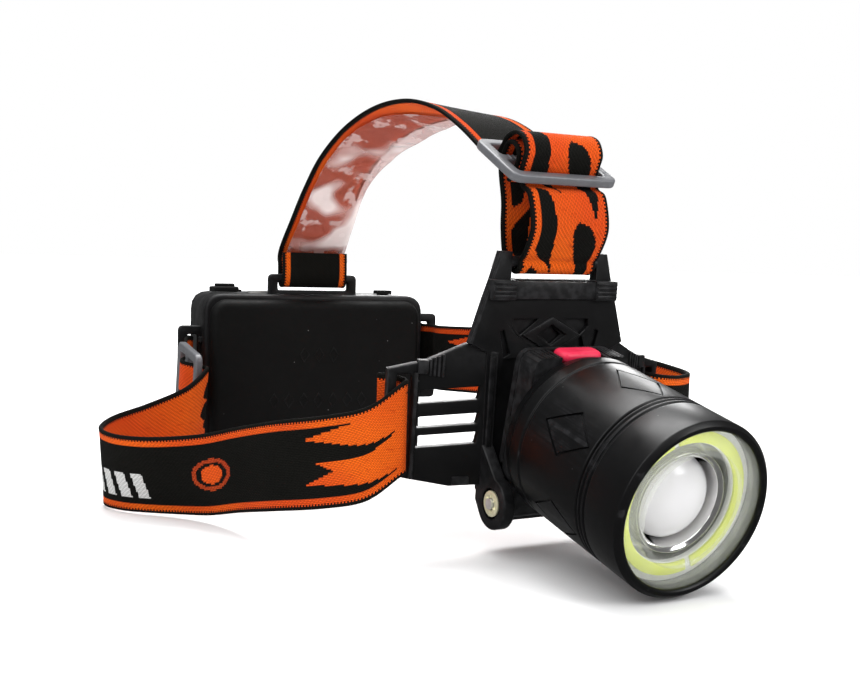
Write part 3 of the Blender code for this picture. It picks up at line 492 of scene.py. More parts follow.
def slab(outline, depth, holes=(), bevel=0.3, plane="XZ", steps=2, place=None):
    """A plate with softened edges between two depths along y, or along z."""
    curve = bpy.data.curves.new("slab", "CURVE")
    curve.dimensions, curve.fill_mode = "2D", "BOTH"
    curve.extrude = (depth[1] - depth[0]) / 2 - bevel
    curve.bevel_depth, curve.bevel_resolution, curve.offset = bevel, steps, -bevel
    for loop in (outline, *holes):
        spline = curve.splines.new("POLY")
        spline.points.add(len(loop) - 1)
        for point, (x, z) in zip(spline.points, loop):
            point.co = (x, z, 0.0, 1.0)
        spline.use_cyclic_u = True
    holder = add_object("slab", curve)
    bm = evaluated_shape(holder)
    bpy.data.objects.remove(holder, do_unlink=True)
    bmesh.ops.remove_doubles(bm, verts=bm.verts, dist=0.001)
    shift = Matrix.Translation((0, 0, (depth[0] + depth[1]) / 2))
    if plane == "XZ":
        shift = Matrix.Translation((0, (depth[0] + depth[1]) / 2, 0)) @ turn(90, "X")
    return fixed(moved(bm, (place or Matrix()) @ shift))


def block(low, high, bevel=0.3, place=None):
    low, high = Vector(low), Vector(high)
    bm = bmesh.new()
    bmesh.ops.create_cube(bm, size=1.0)
    bmesh.ops.scale(bm, vec=high - low, verts=bm.verts)
    bmesh.ops.translate(bm, vec=(low + high) / 2, verts=bm.verts)
    if bevel:
        bmesh.ops.bevel(bm, geom=bm.edges, offset=bevel, segments=2, affect="EDGES", profile=0.5)
    return moved(bm, place)


def revolved(profile, steps, place=None):
    """A body of revolution about z from its closed (radius, z) outline; a point at radius 0 is shared."""
    bm = bmesh.new()
    rings = []
    for r, z in profile:
        if r < 1e-6:
            rings.append([bm.verts.new((0, 0, z))] * steps)
        else:
            rings.append([bm.verts.new((r * cos(2 * pi * k / steps), r * sin(2 * pi * k / steps), z))
                          for k in range(steps)])
    for i, ring in enumerate(rings):
        after = rings[(i + 1) % len(rings)]
        for k in range(steps):
            corners = dict.fromkeys((ring[k], ring[(k + 1) % steps], after[(k + 1) % steps], after[k]))
            if len(corners) > 2:
                bm.faces.new(corners)
    return fixed(moved(bm, place))


def join_rings(bm, rings):
    """Faces between each ring of corners and the next."""
    for a, b in zip(rings, rings[1:]):
        for k in range(len(a)):
            after = (k + 1) % len(a)
            bm.faces.new((a[k], a[after], b[after], b[k]))


def merged(*parts):
    whole = bmesh.new()
    for part in parts:
        mesh = as_mesh("part", part)
        whole.from_mesh(mesh)
        bpy.data.meshes.remove(mesh)
    return whole


def carved(bm, *cutters):
    """The shape less the cutters, as an exact Boolean."""
    holders = [add_object("shape", as_mesh("shape", shape)) for shape in (bm, *cutters)]
    for cutter in holders[1:]:
        step = holders[0].modifiers.new("cut", "BOOLEAN")
        step.operation, step.solver, step.object = "DIFFERENCE", "EXACT", cutter
    out = evaluated_shape(holders[0])
    for holder in holders:
        bpy.data.objects.remove(holder, do_unlink=True)
    return out


def piece(name, bm, place, look, body, nodes, angle=38):
    """A finished piece from a shape in mm in one of the frames, riding on a CAD body."""
    mesh = as_mesh(name, moved(bm, Matrix.Scale(MM, 4) @ place))
    made = add_object(name, mesh)
    mesh.shade_smooth()
    mesh.set_sharp_from_angle(angle=radians(angle))
    mesh.materials.append(LOOK[look])
    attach(made, body)
    if nodes:
        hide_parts(*nodes)


EDGE_ANGLE = 32      # the sharpest turn in degrees that still reads as one smooth surface


def dress(node, look, bevel=0.0):
    """Give a CAD node that stays its detailed material, and soften its edges."""
    thing = CAD[node]
    thing.data.materials.clear()
    thing.data.materials.append(LOOK[look])
    thing.data.shade_smooth()
    thing.data.set_sharp_from_angle(angle=radians(EDGE_ANGLE))
    if bevel:
        step = thing.modifiers.new("soft_edges", "BEVEL")
        step.width, step.segments = bevel * MM, 2
        step.limit_method, step.angle_limit = "ANGLE", radians(EDGE_ANGLE)
        step.harden_normals = True


# ---------------------------------------------------------------- webbing
CELL = 0.5                 # mesh cell, one yarn pick along and one lane across
EDGE, LINE = 1.3, 1.75     # black selvedge, and the coloured line beside it
ROUTE_STEPS = 16           # steps of the smooth route between two of its points
RIGHT_OUT, LEFT_OUT, TOP_OUT = -1.0, 1.0, -1.0      # which side of its route each strap's pattern is on


def smooth_route(points):
    """A smooth line through the points, with even steps between each and the next."""
    points = [Vector(p) for p in points]
    line = [points[0] * 2 - points[1], *points, points[-1] * 2 - points[-2]]
    out = []
    for i in range(1, len(line) - 2):
        p0, p1, p2, p3 = line[i - 1:i + 3]
        for k in range(ROUTE_STEPS):
            u = k / ROUTE_STEPS
            out.append(0.5 * (2 * p1 + (p2 - p0) * u + (2 * p0 - 5 * p1 + 4 * p2 - p3) * u ** 2
                              + (3 * p1 - p0 - 3 * p2 + p3) * u ** 3))
    out.append(points[-1])
    return out


def unit(rows):
    return rows / np.linalg.norm(rows, axis=1)[:, None]


def even_path(stations):
    """Centres, across directions and normals at every cell of length along the stations."""
    centres, across = (np.array([tuple(p) for p in smooth_route(points)]) for points in zip(*stations))
    length = np.concatenate([[0], np.cumsum(np.linalg.norm(np.diff(centres, axis=0), axis=1))])
    at = np.linspace(0, length[-1], int(length[-1] / CELL) + 1)
    centres, across = (np.stack([np.interp(at, length, line) for line in lines.T], 1)
                       for lines in (centres, across))
    across = unit(across)
    return at, centres, across, unit(np.cross(unit(np.gradient(centres, axis=0)), across))


def to_world(points):
    place = np.array(TABLE)
    return (points.reshape(-1, 3) @ place[:3, :3].T + place[:3, 3]) * MM


def inside(outline, u, v):
    """Which of the points (u, v) lie in the closed outline."""
    hit = np.zeros(u.shape, bool)
    for (u0, v0), (u1, v1) in zip(outline, outline[1:] + outline[:1]):
        if v0 == v1:
            continue
        crosses = (v0 > v) != (v1 > v)
        hit ^= crosses & (u < (u1 - u0) * (v - v0) / (v1 - v0) + u0)
    return hit


# One repeat of the woven pattern, in mm along (from the flame's root) and across. Each lick of
# flame is its root, its tip, its greatest width and how far its middle line bows.
REPEAT, REPEAT_START, LICK_STEPS = 172.0, -44.0, 14
LICKS = (((-10.0, 4.0), (31.0, 6.5), 8.5, 1.0), ((-12.0, -1.5), (27.0, 0.2), 8.0, -2.4),
         ((-9.0, -7.0), (30.0, -6.0), 8.5, 2.4))
BARS, BARS_AT, BAR_PITCH, BAR_W, BAR_SLANT, BAR_ENDS = 4, 94.0, 6.0, 3.7, 0.22, (-7.6, 0.4)
RING_AT = 69.5
DOT, RING_IN, RING_OUT = (4.4, 2.8), (6.3, 3.7), (7.9, 4.8)    # half sizes along and across


def lick(root, tip, width, bow):
    """The outline of a flame's lick: widest near its root, pointed at both ends, on a bowed middle line."""
    root, tip = Vector(root), Vector(tip)
    side = (tip - root).orthogonal().normalized()
    edges = [], []
    for k in range(LICK_STEPS + 1):
        t = k / LICK_STEPS
        middle = root.lerp(tip, t) + side * bow * sin(pi * t)
        half = width / 2 * sin(pi * t ** 0.55)
        edges[0].append(tuple(middle + side * half))
        edges[1].append(tuple(middle - side * half))
    return edges[0] + edges[1][::-1]


def pattern(u, v, phase):
    """Yarn on top of the outer face: orange, white and dull shares for every (u, v)."""
    w = np.mod(u - phase - REPEAT_START, REPEAT) + REPEAT_START
    orange = np.zeros(u.shape, bool)
    for shape in LICKS:
        orange |= inside(lick(*shape), w, v)
    dot, ring_in, ring_out = (np.hypot((w - RING_AT) / a, v / b) for a, b in (DOT, RING_IN, RING_OUT))
    orange |= dot < 1
    dull = (ring_in > 1) & (ring_out < 1)
    lean = w - BARS_AT - BAR_SLANT * v
    white = (lean > 0) & (lean < BARS * BAR_PITCH) & (np.mod(lean, BAR_PITCH) < BAR_W)
    return orange, white & (v > BAR_ENDS[0]) & (v < BAR_ENDS[1]), dull


# The woven face of the top strap's front fold and roll: pairs of black licks on orange.
FOLD_PAIRS, FOLD_PITCH = 4, 24.0
FLAMES_END = 105.0
REAR_PHASE, REAR_SPAN = 120.0, (178.0, 290.0)


def flame_pattern(u, v):
    """Black licks on the fold and roll, a plain black arch, and the side straps' pattern down the rear."""
    black = np.zeros(u.shape, bool)
    for k in range(FOLD_PAIRS):
        start = FLAMES_END - FOLD_PITCH * k
        black |= inside(lick((start, -9.0), (start - 26.0, -2.0), 8.5, 2.5), u, v)
        black |= inside(lick((start - 9.0, 2.5), (start - 33.0, 8.0), 7.0, -2.0), u, v)
    _, white, dull = pattern(u, v, REAR_PHASE)
    rear = (u > REAR_SPAN[0]) & (u < REAR_SPAN[1])
    return (u < FLAMES_END) & ~black, rear & white, rear & dull


def webbing(name, node, stations, design, outside, doubled=(0.0, 0.0)):
    """Woven strap along the stations. outside says which side of the route is the patterned face.

    The back of the weave is its negative, but where the strap is doubled, both sides show the pattern.
    """
    at, centres, across, normal = even_path(stations)
    normal = normal * outside
    half, thick = WEB_W / 2, WEB_T / 2
    lanes = np.arange(-half + 0.5, half - 0.49, CELL)
    swell = thick * (0.86 + 0.14 * np.clip((np.abs(lanes) - (half - 1.7)) / 0.8, 0, 1))
    bend = [(half + 0.5 * (cos(a) - 1), thick * sin(a)) for a in (radians(x) for x in (60, 30, 0, -30, -60))]
    section = list(zip(lanes, swell)) + bend
    section += list(zip(lanes[::-1], -swell)) + [(-x, -y) for x, y in bend]
    section = np.array(section)
    count, ring = len(at), len(section)
    points = (centres[:, None, :] + across[:, None, :] * section[None, :, 0:1]
              + normal[:, None, :] * section[None, :, 1:2])
    base = np.arange(count - 1)[:, None] * ring
    k = np.arange(ring)[None, :]
    after = (k + 1) % ring
    faces = np.stack([base + k, base + after, base + ring + after, base + ring + k], 2).reshape(-1, 4)
    if outside < 0:
        faces = faces[:, ::-1]
    caps = [list(range(ring)), list(range((count - 1) * ring, count * ring))]
    caps[0 if outside > 0 else 1].reverse()
    mesh = bpy.data.meshes.new(name)
    mesh.from_pydata(to_world(points).tolist(), [], faces.tolist() + caps)
    # the pick and lane of each face, staggered as the yarns bind
    wide = len(lanes)
    middle = (section[:, 0] + section[(np.arange(ring) + 1) % ring, 0]) / 2
    v = np.broadcast_to(middle[None, :], (count - 1, ring))
    u = np.broadcast_to(at[:-1, None], v.shape)
    front = k < wide - 1
    back = (k >= wide + len(bend) - 1) & (k < 2 * wide + len(bend) - 1)
    both = (u > doubled[0]) & (u < doubled[1])
    shown = front | (back & both)
    orange, white, dull = design(u + CELL / 2, v)
    tooth = 0.3 * ((np.floor(u / CELL).astype(int) % 2) - 0.5)
    depth = half - np.abs(v) - tooth
    field = depth >= EDGE + LINE
    red = shown & (((depth > EDGE) & (depth < EDGE + LINE)) | (field & orange))
    red |= back & ~both & (depth > EDGE + 0.5) & ~(orange & field)
    yarns = np.stack([red, shown & field & white, shown & field & dull, np.ones(u.shape, bool)], 2)
    loops = np.concatenate([np.repeat(yarns.reshape(-1, 4), 4, axis=0), [[0, 0, 0, 1]] * 2 * ring])
    layer = mesh.attributes.new("yarn", "FLOAT_COLOR", "CORNER")
    layer.data.foreach_set("color", loops.astype(np.float32).ravel())
    # the weave's own coordinates, in metres along and across
    plan = np.stack(np.broadcast_arrays(at[:, None] * MM, section[None, :, 0] * MM), 2).reshape(-1, 2)
    indices = np.zeros(len(mesh.loops), np.int32)
    mesh.loops.foreach_get("vertex_index", indices)
    mesh.uv_layers.new(name="weave").data.foreach_set("uv", plan[indices].astype(np.float32).ravel())
    mesh.shade_smooth()
    mesh.materials.append(LOOK["weave"])
    made = add_object(name, mesh)
    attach(made, "root")
    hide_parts(node)


UP = (0, 0, 1)


def in_bracket(point):
    return LEANING @ Vector(point)


def in_box(point):
    return TABLE.inverted() @ CASE @ Vector(point)


def slider_path(centre, along, normal):
    """Webbing under a tri-glide's end bars and over its middle bar."""
    centre, along, normal = Vector(centre), Vector(along).normalized(), Vector(normal).normalized()
    across = along.cross(normal)
    if across.z < 0:
        across = -across
    over = SLIDER[2] / 2 + WEB_T / 2 + 0.5
    reach = SLIDER[1] / 2 - SLIDER_BAR
    steps = ((reach + 3.6, -over), (reach - 0.2, -over), (reach / 2 + 0.8, 0.0), (SLIDER_BAR / 2 + 0.2, over))
    stations = [(-s, n) for s, n in steps] + [(s, n) for s, n in reversed(steps)]
    return [(centre + along * s + normal * n, across) for s, n in stations]


def wing_threading(side):
    points = ((43.4, 16.0, 30.0), (40.6, 12.6, 30.0), (39.7, 9.0, 30.0), (40.4, 5.6, 29.8), (43.4, 2.7, 29.4))
    return [(in_bracket((side * x, y, z)), UP) for x, y, z in points]


def ear_threading(side, z):
    points = ((6.0, 3.2), (3.3, 7.5), (3.0, 12.0), (5.6, 16.5))
    return [(in_box((side * (BOX_W / 2 + x), y, z)), UP) for x, y in points]


def right_stations():
    # each point and how far the web's top edge leans outward there
    loop = [(-51.0, 4.2, 28.0, 0.0), (-59.0, 14.5, 24.6, 0.0), (-66.6, 29.0, 21.6, 0.0),
            (-71.0, 45.0, 18.0, 0.08), (-76.0, 57.2, 14.8, 0.16), (-82.8, 66.4, 13.3, 0.26),
            (-90.2, 73.2, 12.8, 0.3), (-96.4, 81.0, 12.8, 0.24), (-98.0, 91.0, 13.2, 0.1),
            (-92.2, 100.4, 14.7, 0.0), (-80.0, 105.4, 17.4, 0.0), (-67.0, 107.0, 22.2, 0.0)]
    right = wing_threading(-1) + [(Vector(p), (-0.8 * out, -0.6 * out, 1.0)) for *p, out in loop]
    return right + slider_path(*RIGHT_SLIDER) + ear_threading(-1, 35.5)


def left_stations():
    loop = [(51.0, 2.2, 33.6), (60.5, 8.0, 33.5), (66.5, 17.5, 33.6), (68.5, 30.0, 34.5), (66.5, 46.0, 36.5),
            (62.0, 62.0, 39.0)]
    left = wing_threading(1) + [(Vector(p), UP) for p in loop] + slider_path(*LEFT_SLIDER)
    return left + [(in_box((BOX_W / 2 + 7.0, -6.0, 40.5)), UP)] + ear_threading(1, 40.5)


def make_side_straps():
    right, left = (partial(pattern, phase=start) for start in (16.0, 128.0))
    webbing("right_strap_webbing", "strap_right", right_stations(), right, RIGHT_OUT)
    webbing("left_strap_webbing", "strap_left", left_stations(), left, LEFT_OUT, doubled=(100.0, 200.0))


def in_slider(slider, s, n):
    """A point by its distance along the webbing and out of the slider's plane."""
    centre, along, normal = (Vector(v) for v in slider)
    return centre + along.normalized() * s + normal.normalized() * n


def top_stations():
    """From the end looped on the slider's middle bar, down behind, round the bracket's bar, up and over."""
    across = (1, 0, 0)
    bar = in_bracket((0, PLATE_T / 2, STRAP_BAR_Z))
    wrap = STRAP_BAR_R + 0.3 + WEB_T / 2 + 0.1
    turns = [radians(a) for a in (75, 120, 165, 195, 240, 285)]
    eye = ((-2.6, -4.4), (-4.0, 0.4), (-3.3, 3.8), (-0.2, 5.2), (2.6, 4.0), (3.3, 0.4), (2.4, -3.6))
    roll = ((-13.6, -3.2), (-9.6, -2.7), (-7.0, -0.6), (-6.6, 2.9), (-6.2, 6.0), (-3.1, 8.3), (0.8, 7.9),
            (3.9, 5.2), (4.9, 1.8), (6.6, -1.6), (9.6, -2.7), (13.4, -2.9))
    front = [in_slider(TOP_SLIDER, *p) for p in eye]
    front += [Vector(p) for p in ((-1.6, 0.9, 95.0), (-0.8, 2.0, 88.0), (-0.2, 1.6, 81.0))]
    front += [bar + wrap * Vector((0, sin(a), cos(a))) for a in turns]
    front += [Vector(p) for p in ((-0.6, -9.0, 81.5), (-1.4, -13.4, 88.0))]
    front += [in_slider(TOP_SLIDER, *p) for p in roll]
    stations = [(p, across) for p in front]
    arch = [((-4.0, 22.0, 117.0), (1, 0, 0)), ((-4.4, 36.0, 122.4), (1, 0.02, -0.06)),
            ((-5.0, 54.0, 125.2), (1, 0.06, -0.12)), ((-5.4, 75.0, 125.0), (1, 0.12, -0.10)),
            ((-6.2, 96.0, 120.6), (1, 0.18, -0.06)), ((-7.2, 113.0, 112.5), (1, 0.20, -0.02)),
            ((-8.0, 124.6, 102.5), (1, 0.2, 0)), ((-8.6, 133.0, 91.0), (1, 0.06, 0))]
    stations += [(Vector(p), Vector(d).normalized()) for p, d in arch]
    tail = turn(BOX_YAW, "Z") @ Vector(across)
    threading = ((10.6, 16.0), (11.2, 10.5), (10.9, 6.5), (9.6, 3.7), (7.5, 3.0), (5.4, 3.7), (4.2, 6.5),
                 (4.1, 10.5), (4.6, 15.5))
    return stations + [(in_box((0, y, BOX_H + z)), tail) for y, z in threading]


# The film's size laid flat in metres, where it lies along the strap, then its left edge and how far
# it hangs, each against the distance along the strap.
FILM_SPAN = (172.0, 293.0)
FILM_LEFT = ((172, 6.0), (180, -2.0), (190, -7.0), (204, -8.8), (216, -9.4), (293, -9.8))
FILM_SAG = ((172, 0.2), (182, 1.8), (200, 3.4), (222, 2.6), (240, 1.2), (262, 0.5), (293, 0.3))


def make_film():
    """Clear packing film left on the inside of the strap: it hangs a little and is creased."""
    at, centres, across, normal = even_path(top_stations())
    span = (at >= FILM_SPAN[0]) & (at <= FILM_SPAN[1])
    at, centres, across, inward = at[span], centres[span], across[span], normal[span] * -TOP_OUT
    left, sag = (np.interp(at, *zip(*table))[:, None] for table in (FILM_LEFT, FILM_SAG))
    t = np.linspace(0, 1, 45)[None, :]
    v = left + (WEB_W / 2 + 0.4 - left) * t
    u = at[:, None]
    crease = (0.34 * np.sin(0.27 * u + 0.34 * v) + 0.22 * np.sin(0.5 * u - 0.21 * v + 1.3)
              + 0.14 * np.sin(0.8 * v + 0.16 * u) + 0.07 * np.sin(1.3 * u + 0.5 * v))
    free = np.sin(pi * np.clip(t, 0.03, 0.97)) ** 0.5
    out = 1.25 + sag * t ** 0.8 + np.maximum(0.0, crease) * free
    points = centres[:, None, :] + across[:, None, :] * v[..., None] + inward[:, None, :] * out[..., None]
    rows, columns = v.shape
    first = (np.arange(rows - 1)[:, None] * columns + np.arange(columns - 1)[None, :]).reshape(-1)
    faces = np.stack([first, first + 1, first + columns + 1, first + columns], 1)
    mesh = bpy.data.meshes.new("top_strap_film")
    mesh.from_pydata(to_world(points).tolist(), [], faces.tolist())
    mesh.shade_smooth()
    mesh.materials.append(LOOK["film"])
    film = add_object("top_strap_film", mesh)
    skin = film.modifiers.new("skin", "SOLIDIFY")
    skin.thickness = 0.05 * MM
    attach(film, "root")


def make_top_strap():
    webbing("top_strap_webbing", "strap_top", top_stations(), flame_pattern, TOP_OUT, doubled=(0.0, 112.0))
    make_film()


# ---------------------------------------------------------------- lamp head
DIAMOND_S, DIAMOND_HALF = 26.8, (9.4, 16.0)    # middle along the barrel; half sizes in mm and degrees
DIAMOND_FIRST, DIAMONDS = 33.0, 6
GROOVE_W, GROOVE_DEPTH = 0.55, 0.5
STEPS = 240


def diamond_groove(middle):
    """A four-sided ring standing on the barrel's skin, to be cut from it."""
    reach_s, reach_a = DIAMOND_HALF
    corners = [Vector(c) for c in ((1, 0), (0, 1), (-1, 0), (0, -1), (1, 0))]
    ring = [a.lerp(b, k / 8) for a, b in zip(corners, corners[1:]) for k in range(8)]
    bm = bmesh.new()
    loops = []
    outside, floor, inset = LAMP_R + 1, LAMP_R - GROOVE_DEPTH, GROOVE_W * 1.6
    for shrink, r in ((0, outside), (0, floor), (inset, floor), (inset, outside)):
        half_s, half_a = reach_s - shrink, radians(reach_a) - shrink / LAMP_R
        angles = [radians(middle) + f.y * half_a for f in ring]
        loops.append([bm.verts.new((r * cos(a), r * sin(a), f.x * half_s - DIAMOND_S))
                      for a, f in zip(angles, ring)])
    join_rings(bm, loops + loops[:1])
    return outward(fixed(bm))


def turned(name, profile, look, nodes, steps=STEPS):
    """A body of revolution about the lamp's axis, riding on the zoom head."""
    piece(name, revolved(profile, steps), LAMP, look, "zoom_head", nodes)


def make_lamp():
    bezel = rounded([(21.4, 0.0), (LAMP_R, -1.1), (LAMP_R, -12.5), (21.95, -12.7), (21.95, -13.3),
                     (LAMP_R, -13.5), (LAMP_R, -14.1), (21.95, -14.3), (21.95, -14.9), (LAMP_R, -15.1),
                     (LAMP_R, -BEZEL_S), (21.1, -BEZEL_S), (21.1, -1.3), (GLASS_R, -1.3), (GLASS_R, -0.5),
                     (GLASS_R + 0.5, 0.0)], 0.22, 3)
    turned("front_bezel", bezel, "anodised", ["bezel"])
    barrel = rounded([(20.8, -10.0), (20.8, -16.1), (22.0, -16.1), (LAMP_R, -16.5), (LAMP_R, -40.6),
                      (22.15, -40.9), (22.15, -41.5), (LAMP_R, -41.8), (LAMP_R, -45.6), (21.7, -46.9),
                      (21.3, -49.3), (20.8, -BARREL_S), (BORE_R, -BARREL_S), (BORE_R, -22.0), (19.0, -21.0),
                      (19.0, -10.0)], 0.25, 3)
    grooves = [diamond_groove(DIAMOND_FIRST + 360 / DIAMONDS * k) for k in range(DIAMONDS)]
    piece("zoom_barrel_body", carved(revolved(barrel, STEPS), *grooves), LAMP, "anodised", "zoom_head",
          ["zoom_barrel"], angle=15)
    pane = rounded([(20.7, -1.45), (20.7, -5.2), (20.0, -5.2), (20.0, -3.0), (14.9, -3.0), (14.9, -1.45)],
                   0.3, 3)
    tube = rounded([(15.0, -1.2), (15.0, -9.0), (13.4, -9.0), (13.4, -1.6), (14.1, -0.9)], 0.5, 4)
    turned("front_window_pane", pane, "pane", ["front_window"], 160)
    turned("front_window_tube", tube, "tube", [], 160)
    board = rounded([(20.2, -5.4), (20.2, -6.8), (15.3, -6.8), (15.3, -5.4)], 0.1, 2)
    turned("cob_circuit_ring", board, "white", ["cob_board"], 128)
    make_cob()
    holder = rounded([(12.9, -5.2), (13.1, -9.3), (18.6, -9.3), (18.6, -20.0), (17.4, -20.0), (17.4, -10.5),
                      (11.1, -10.5), (11.5, -6.0), (12.3, -5.2)], 0.25, 3)
    turned("lens_retainer", holder, "chrome", ["lens_holder"], 160)
    dome = [(10.8 * cos(radians(a)), -10.6 + 6.4 * sin(radians(a))) for a in range(90, -1, -5)]
    lens = [(0.0, dome[0][1]), *dome[1:], (10.8, -11.8), (10.6, -12.0), (0.0, -12.0)]
    turned("aspheric_lens", lens, "lens", ["centre_lens"], 128)


GAP_AT, GAP, COB_STEPS = -70.0, 3.0, 80      # degrees round the ring, and steps in each arc


def make_cob():
    """Phosphor in two arcs with a white gap between their ends, on the ring board."""
    arcs = bmesh.new()
    inner, outer, low, high = 15.5, 18.5, -5.35, -4.7
    shape = rounded([(outer, low), (outer, high), (inner, high), (inner, low)], 0.2, 2)
    for first in (GAP_AT + GAP, GAP_AT + 180 + GAP):
        rings = []
        for k in range(COB_STEPS + 1):
            angle = radians(first + (180 - 2 * GAP) * k / COB_STEPS)
            rings.append([arcs.verts.new((r * cos(angle), r * sin(angle), z)) for r, z in shape])
        join_rings(arcs, rings)
        arcs.faces.new(rings[0])
        arcs.faces.new(rings[-1])
    piece("cob_phosphor_arcs", fixed(arcs), LAMP, "phosphor", "zoom_head", ["cob_ring"])


def make_housing_looks():
    for node, look, bevel in (("lamp_housing", "plastic", 0.0), ("housing_cover", "plastic", 0.35),
                              ("slide_tube", "aluminium", 0.15), ("o_ring", "rubber", 0.0),
                              ("heat_sink", "aluminium", 0.2), ("led_board", "white", 0.1),
                              ("led_emitter", "phosphor", 0.1), ("driver_board", "board", 0.0),
                              ("tact_switch", "steel", 0.2), ("lamp_cable_gland", "rubber", 0.2),
                              *[("housing_screw_%d" % n, "steel", 0.12) for n in (1, 2, 3, 4)]):
        dress(node, look, bevel)
    w, d = BUTTON_SIZE
    top = HOUSING_TOP
    outline = rounded(rectangle(-w / 2, w / 2, BUTTON_Z - d / 2, BUTTON_Z + d / 2), 2.9, 8)
    button = slab(outline, (top - 2.0, top + 1.1), bevel=1.45, plane="XY", steps=6)
    moved(button, Matrix(((1, 0, 0, 0), (0, 0, 1, 0), (0, 1, 0, 0), (0, 0, 0, 1))))
    bmesh.ops.reverse_faces(button, faces=button.faces)
    piece("switch_button_cap", button, LAMP, "button", "switch_button", ["push_button"],
          angle=60)
    # ribbed grips on the housing's two upper flanks, beside the button
    ribs = []
    for side in (-1, 1):
        for k in range(6):
            x = side * (8.4 + 1.15 * k)
            t = top - 0.05 - 0.10 * k - (0.9 if k > 4 else 0.0)
            ribs.append(block((x - 0.33, t - 0.6, -57.0), (x + 0.33, t + 0.42, -51.0), 0.16))
    piece("housing_grip_ribs", merged(*ribs), LAMP, "plastic", "lamp_head", [])


# ---------------------------------------------------------------- front bracket
def hinge_place(side, x):
    """On the hinge's line, x outward from the middle, with z outward."""
    return Matrix.Translation((side * x, *HINGE.yz)) @ turn(90 * side, "Y")


def make_wing(side):
    place = turn(WING_SWEEP, "Z")
    place = Matrix.Scale(side, 4, (1, 0, 0)) @ Matrix.Translation((WING_ROOT_X, -0.2, 0)) @ place
    half = [(-1.5, 14.0), (10, 13.4), (21.8, 15.4), (28.4, 17.0), (28.4, 45.0), (18.0, 47.4), (7.4, 52.2),
            (-1.5, 50.0)]
    vents = [[(3.4, low + 1.4), (19.8, low), (19.4, low + tall), (2.8, low + tall + 1.4)]
             for low, tall in ((23.8, 3.3), (29.2, 3.0), (35.8, 3.6))]
    x0, x1 = SLOT_X[0] - WING_ROOT_X + 0.9, SLOT_X[1] - WING_ROOT_X + 1.1
    slot = rounded(rectangle(x0, x1, *SLOT_Z), 0.8, 2)
    parts = [slab(half, (0, PLATE_T), [rounded(v, 0.5, 2) for v in vents] + [slot], 0.45, place=place)]
    # the raised block with its ribs, and the bar along the slot
    parts.append(block((17.6, -0.9, 44.0), (20.4, 2.2, 47.6), 0.3, place))
    for k in range(4):
        x = 13.2 + 1.15 * k
        parts.append(block((x, -0.55, 43.2 + 0.1 * k), (x + 0.6, 1.0, 49.2 - 0.45 * k), 0.15, place))
    parts.append(block((x0 - 1.5, -0.7, 15.4), (x0 - 0.4, 1.2, 44.2), 0.3, place))
    parts.append(block((4.6, -0.5, 13.9), (9.4, 3.6, 16.2), 0.35, place))
    return [fixed(p) for p in parts]


def make_ear(side):
    y, z = HINGE.y, HINGE.z
    arc = [(y + EAR_R * cos(radians(a)), z + EAR_R * sin(radians(a))) for a in range(100, 326, 9)]
    outline = [(2.2, z + 17.0), *arc, (2.2, z - 0.7)]
    swap = Matrix(((0, 0, side, 0), (1, 0, 0, 0), (0, 1, 0, 0), (0, 0, 0, 1)))
    ear = slab(outline, EAR_X, bevel=0.45, plane="XY", place=swap)
    at_face = hinge_place(side, EAR_X[1])
    recess = revolved(rounded([(4.2, -1.1), (4.2, 3.0), (0, 3.0), (0, -1.1)], 0.01, 1), 48, at_face)
    bore = revolved([(1.8, -8), (1.8, 8), (0, 8), (0, -8)], 32, at_face)
    return carved(ear, outward(recess), outward(bore))


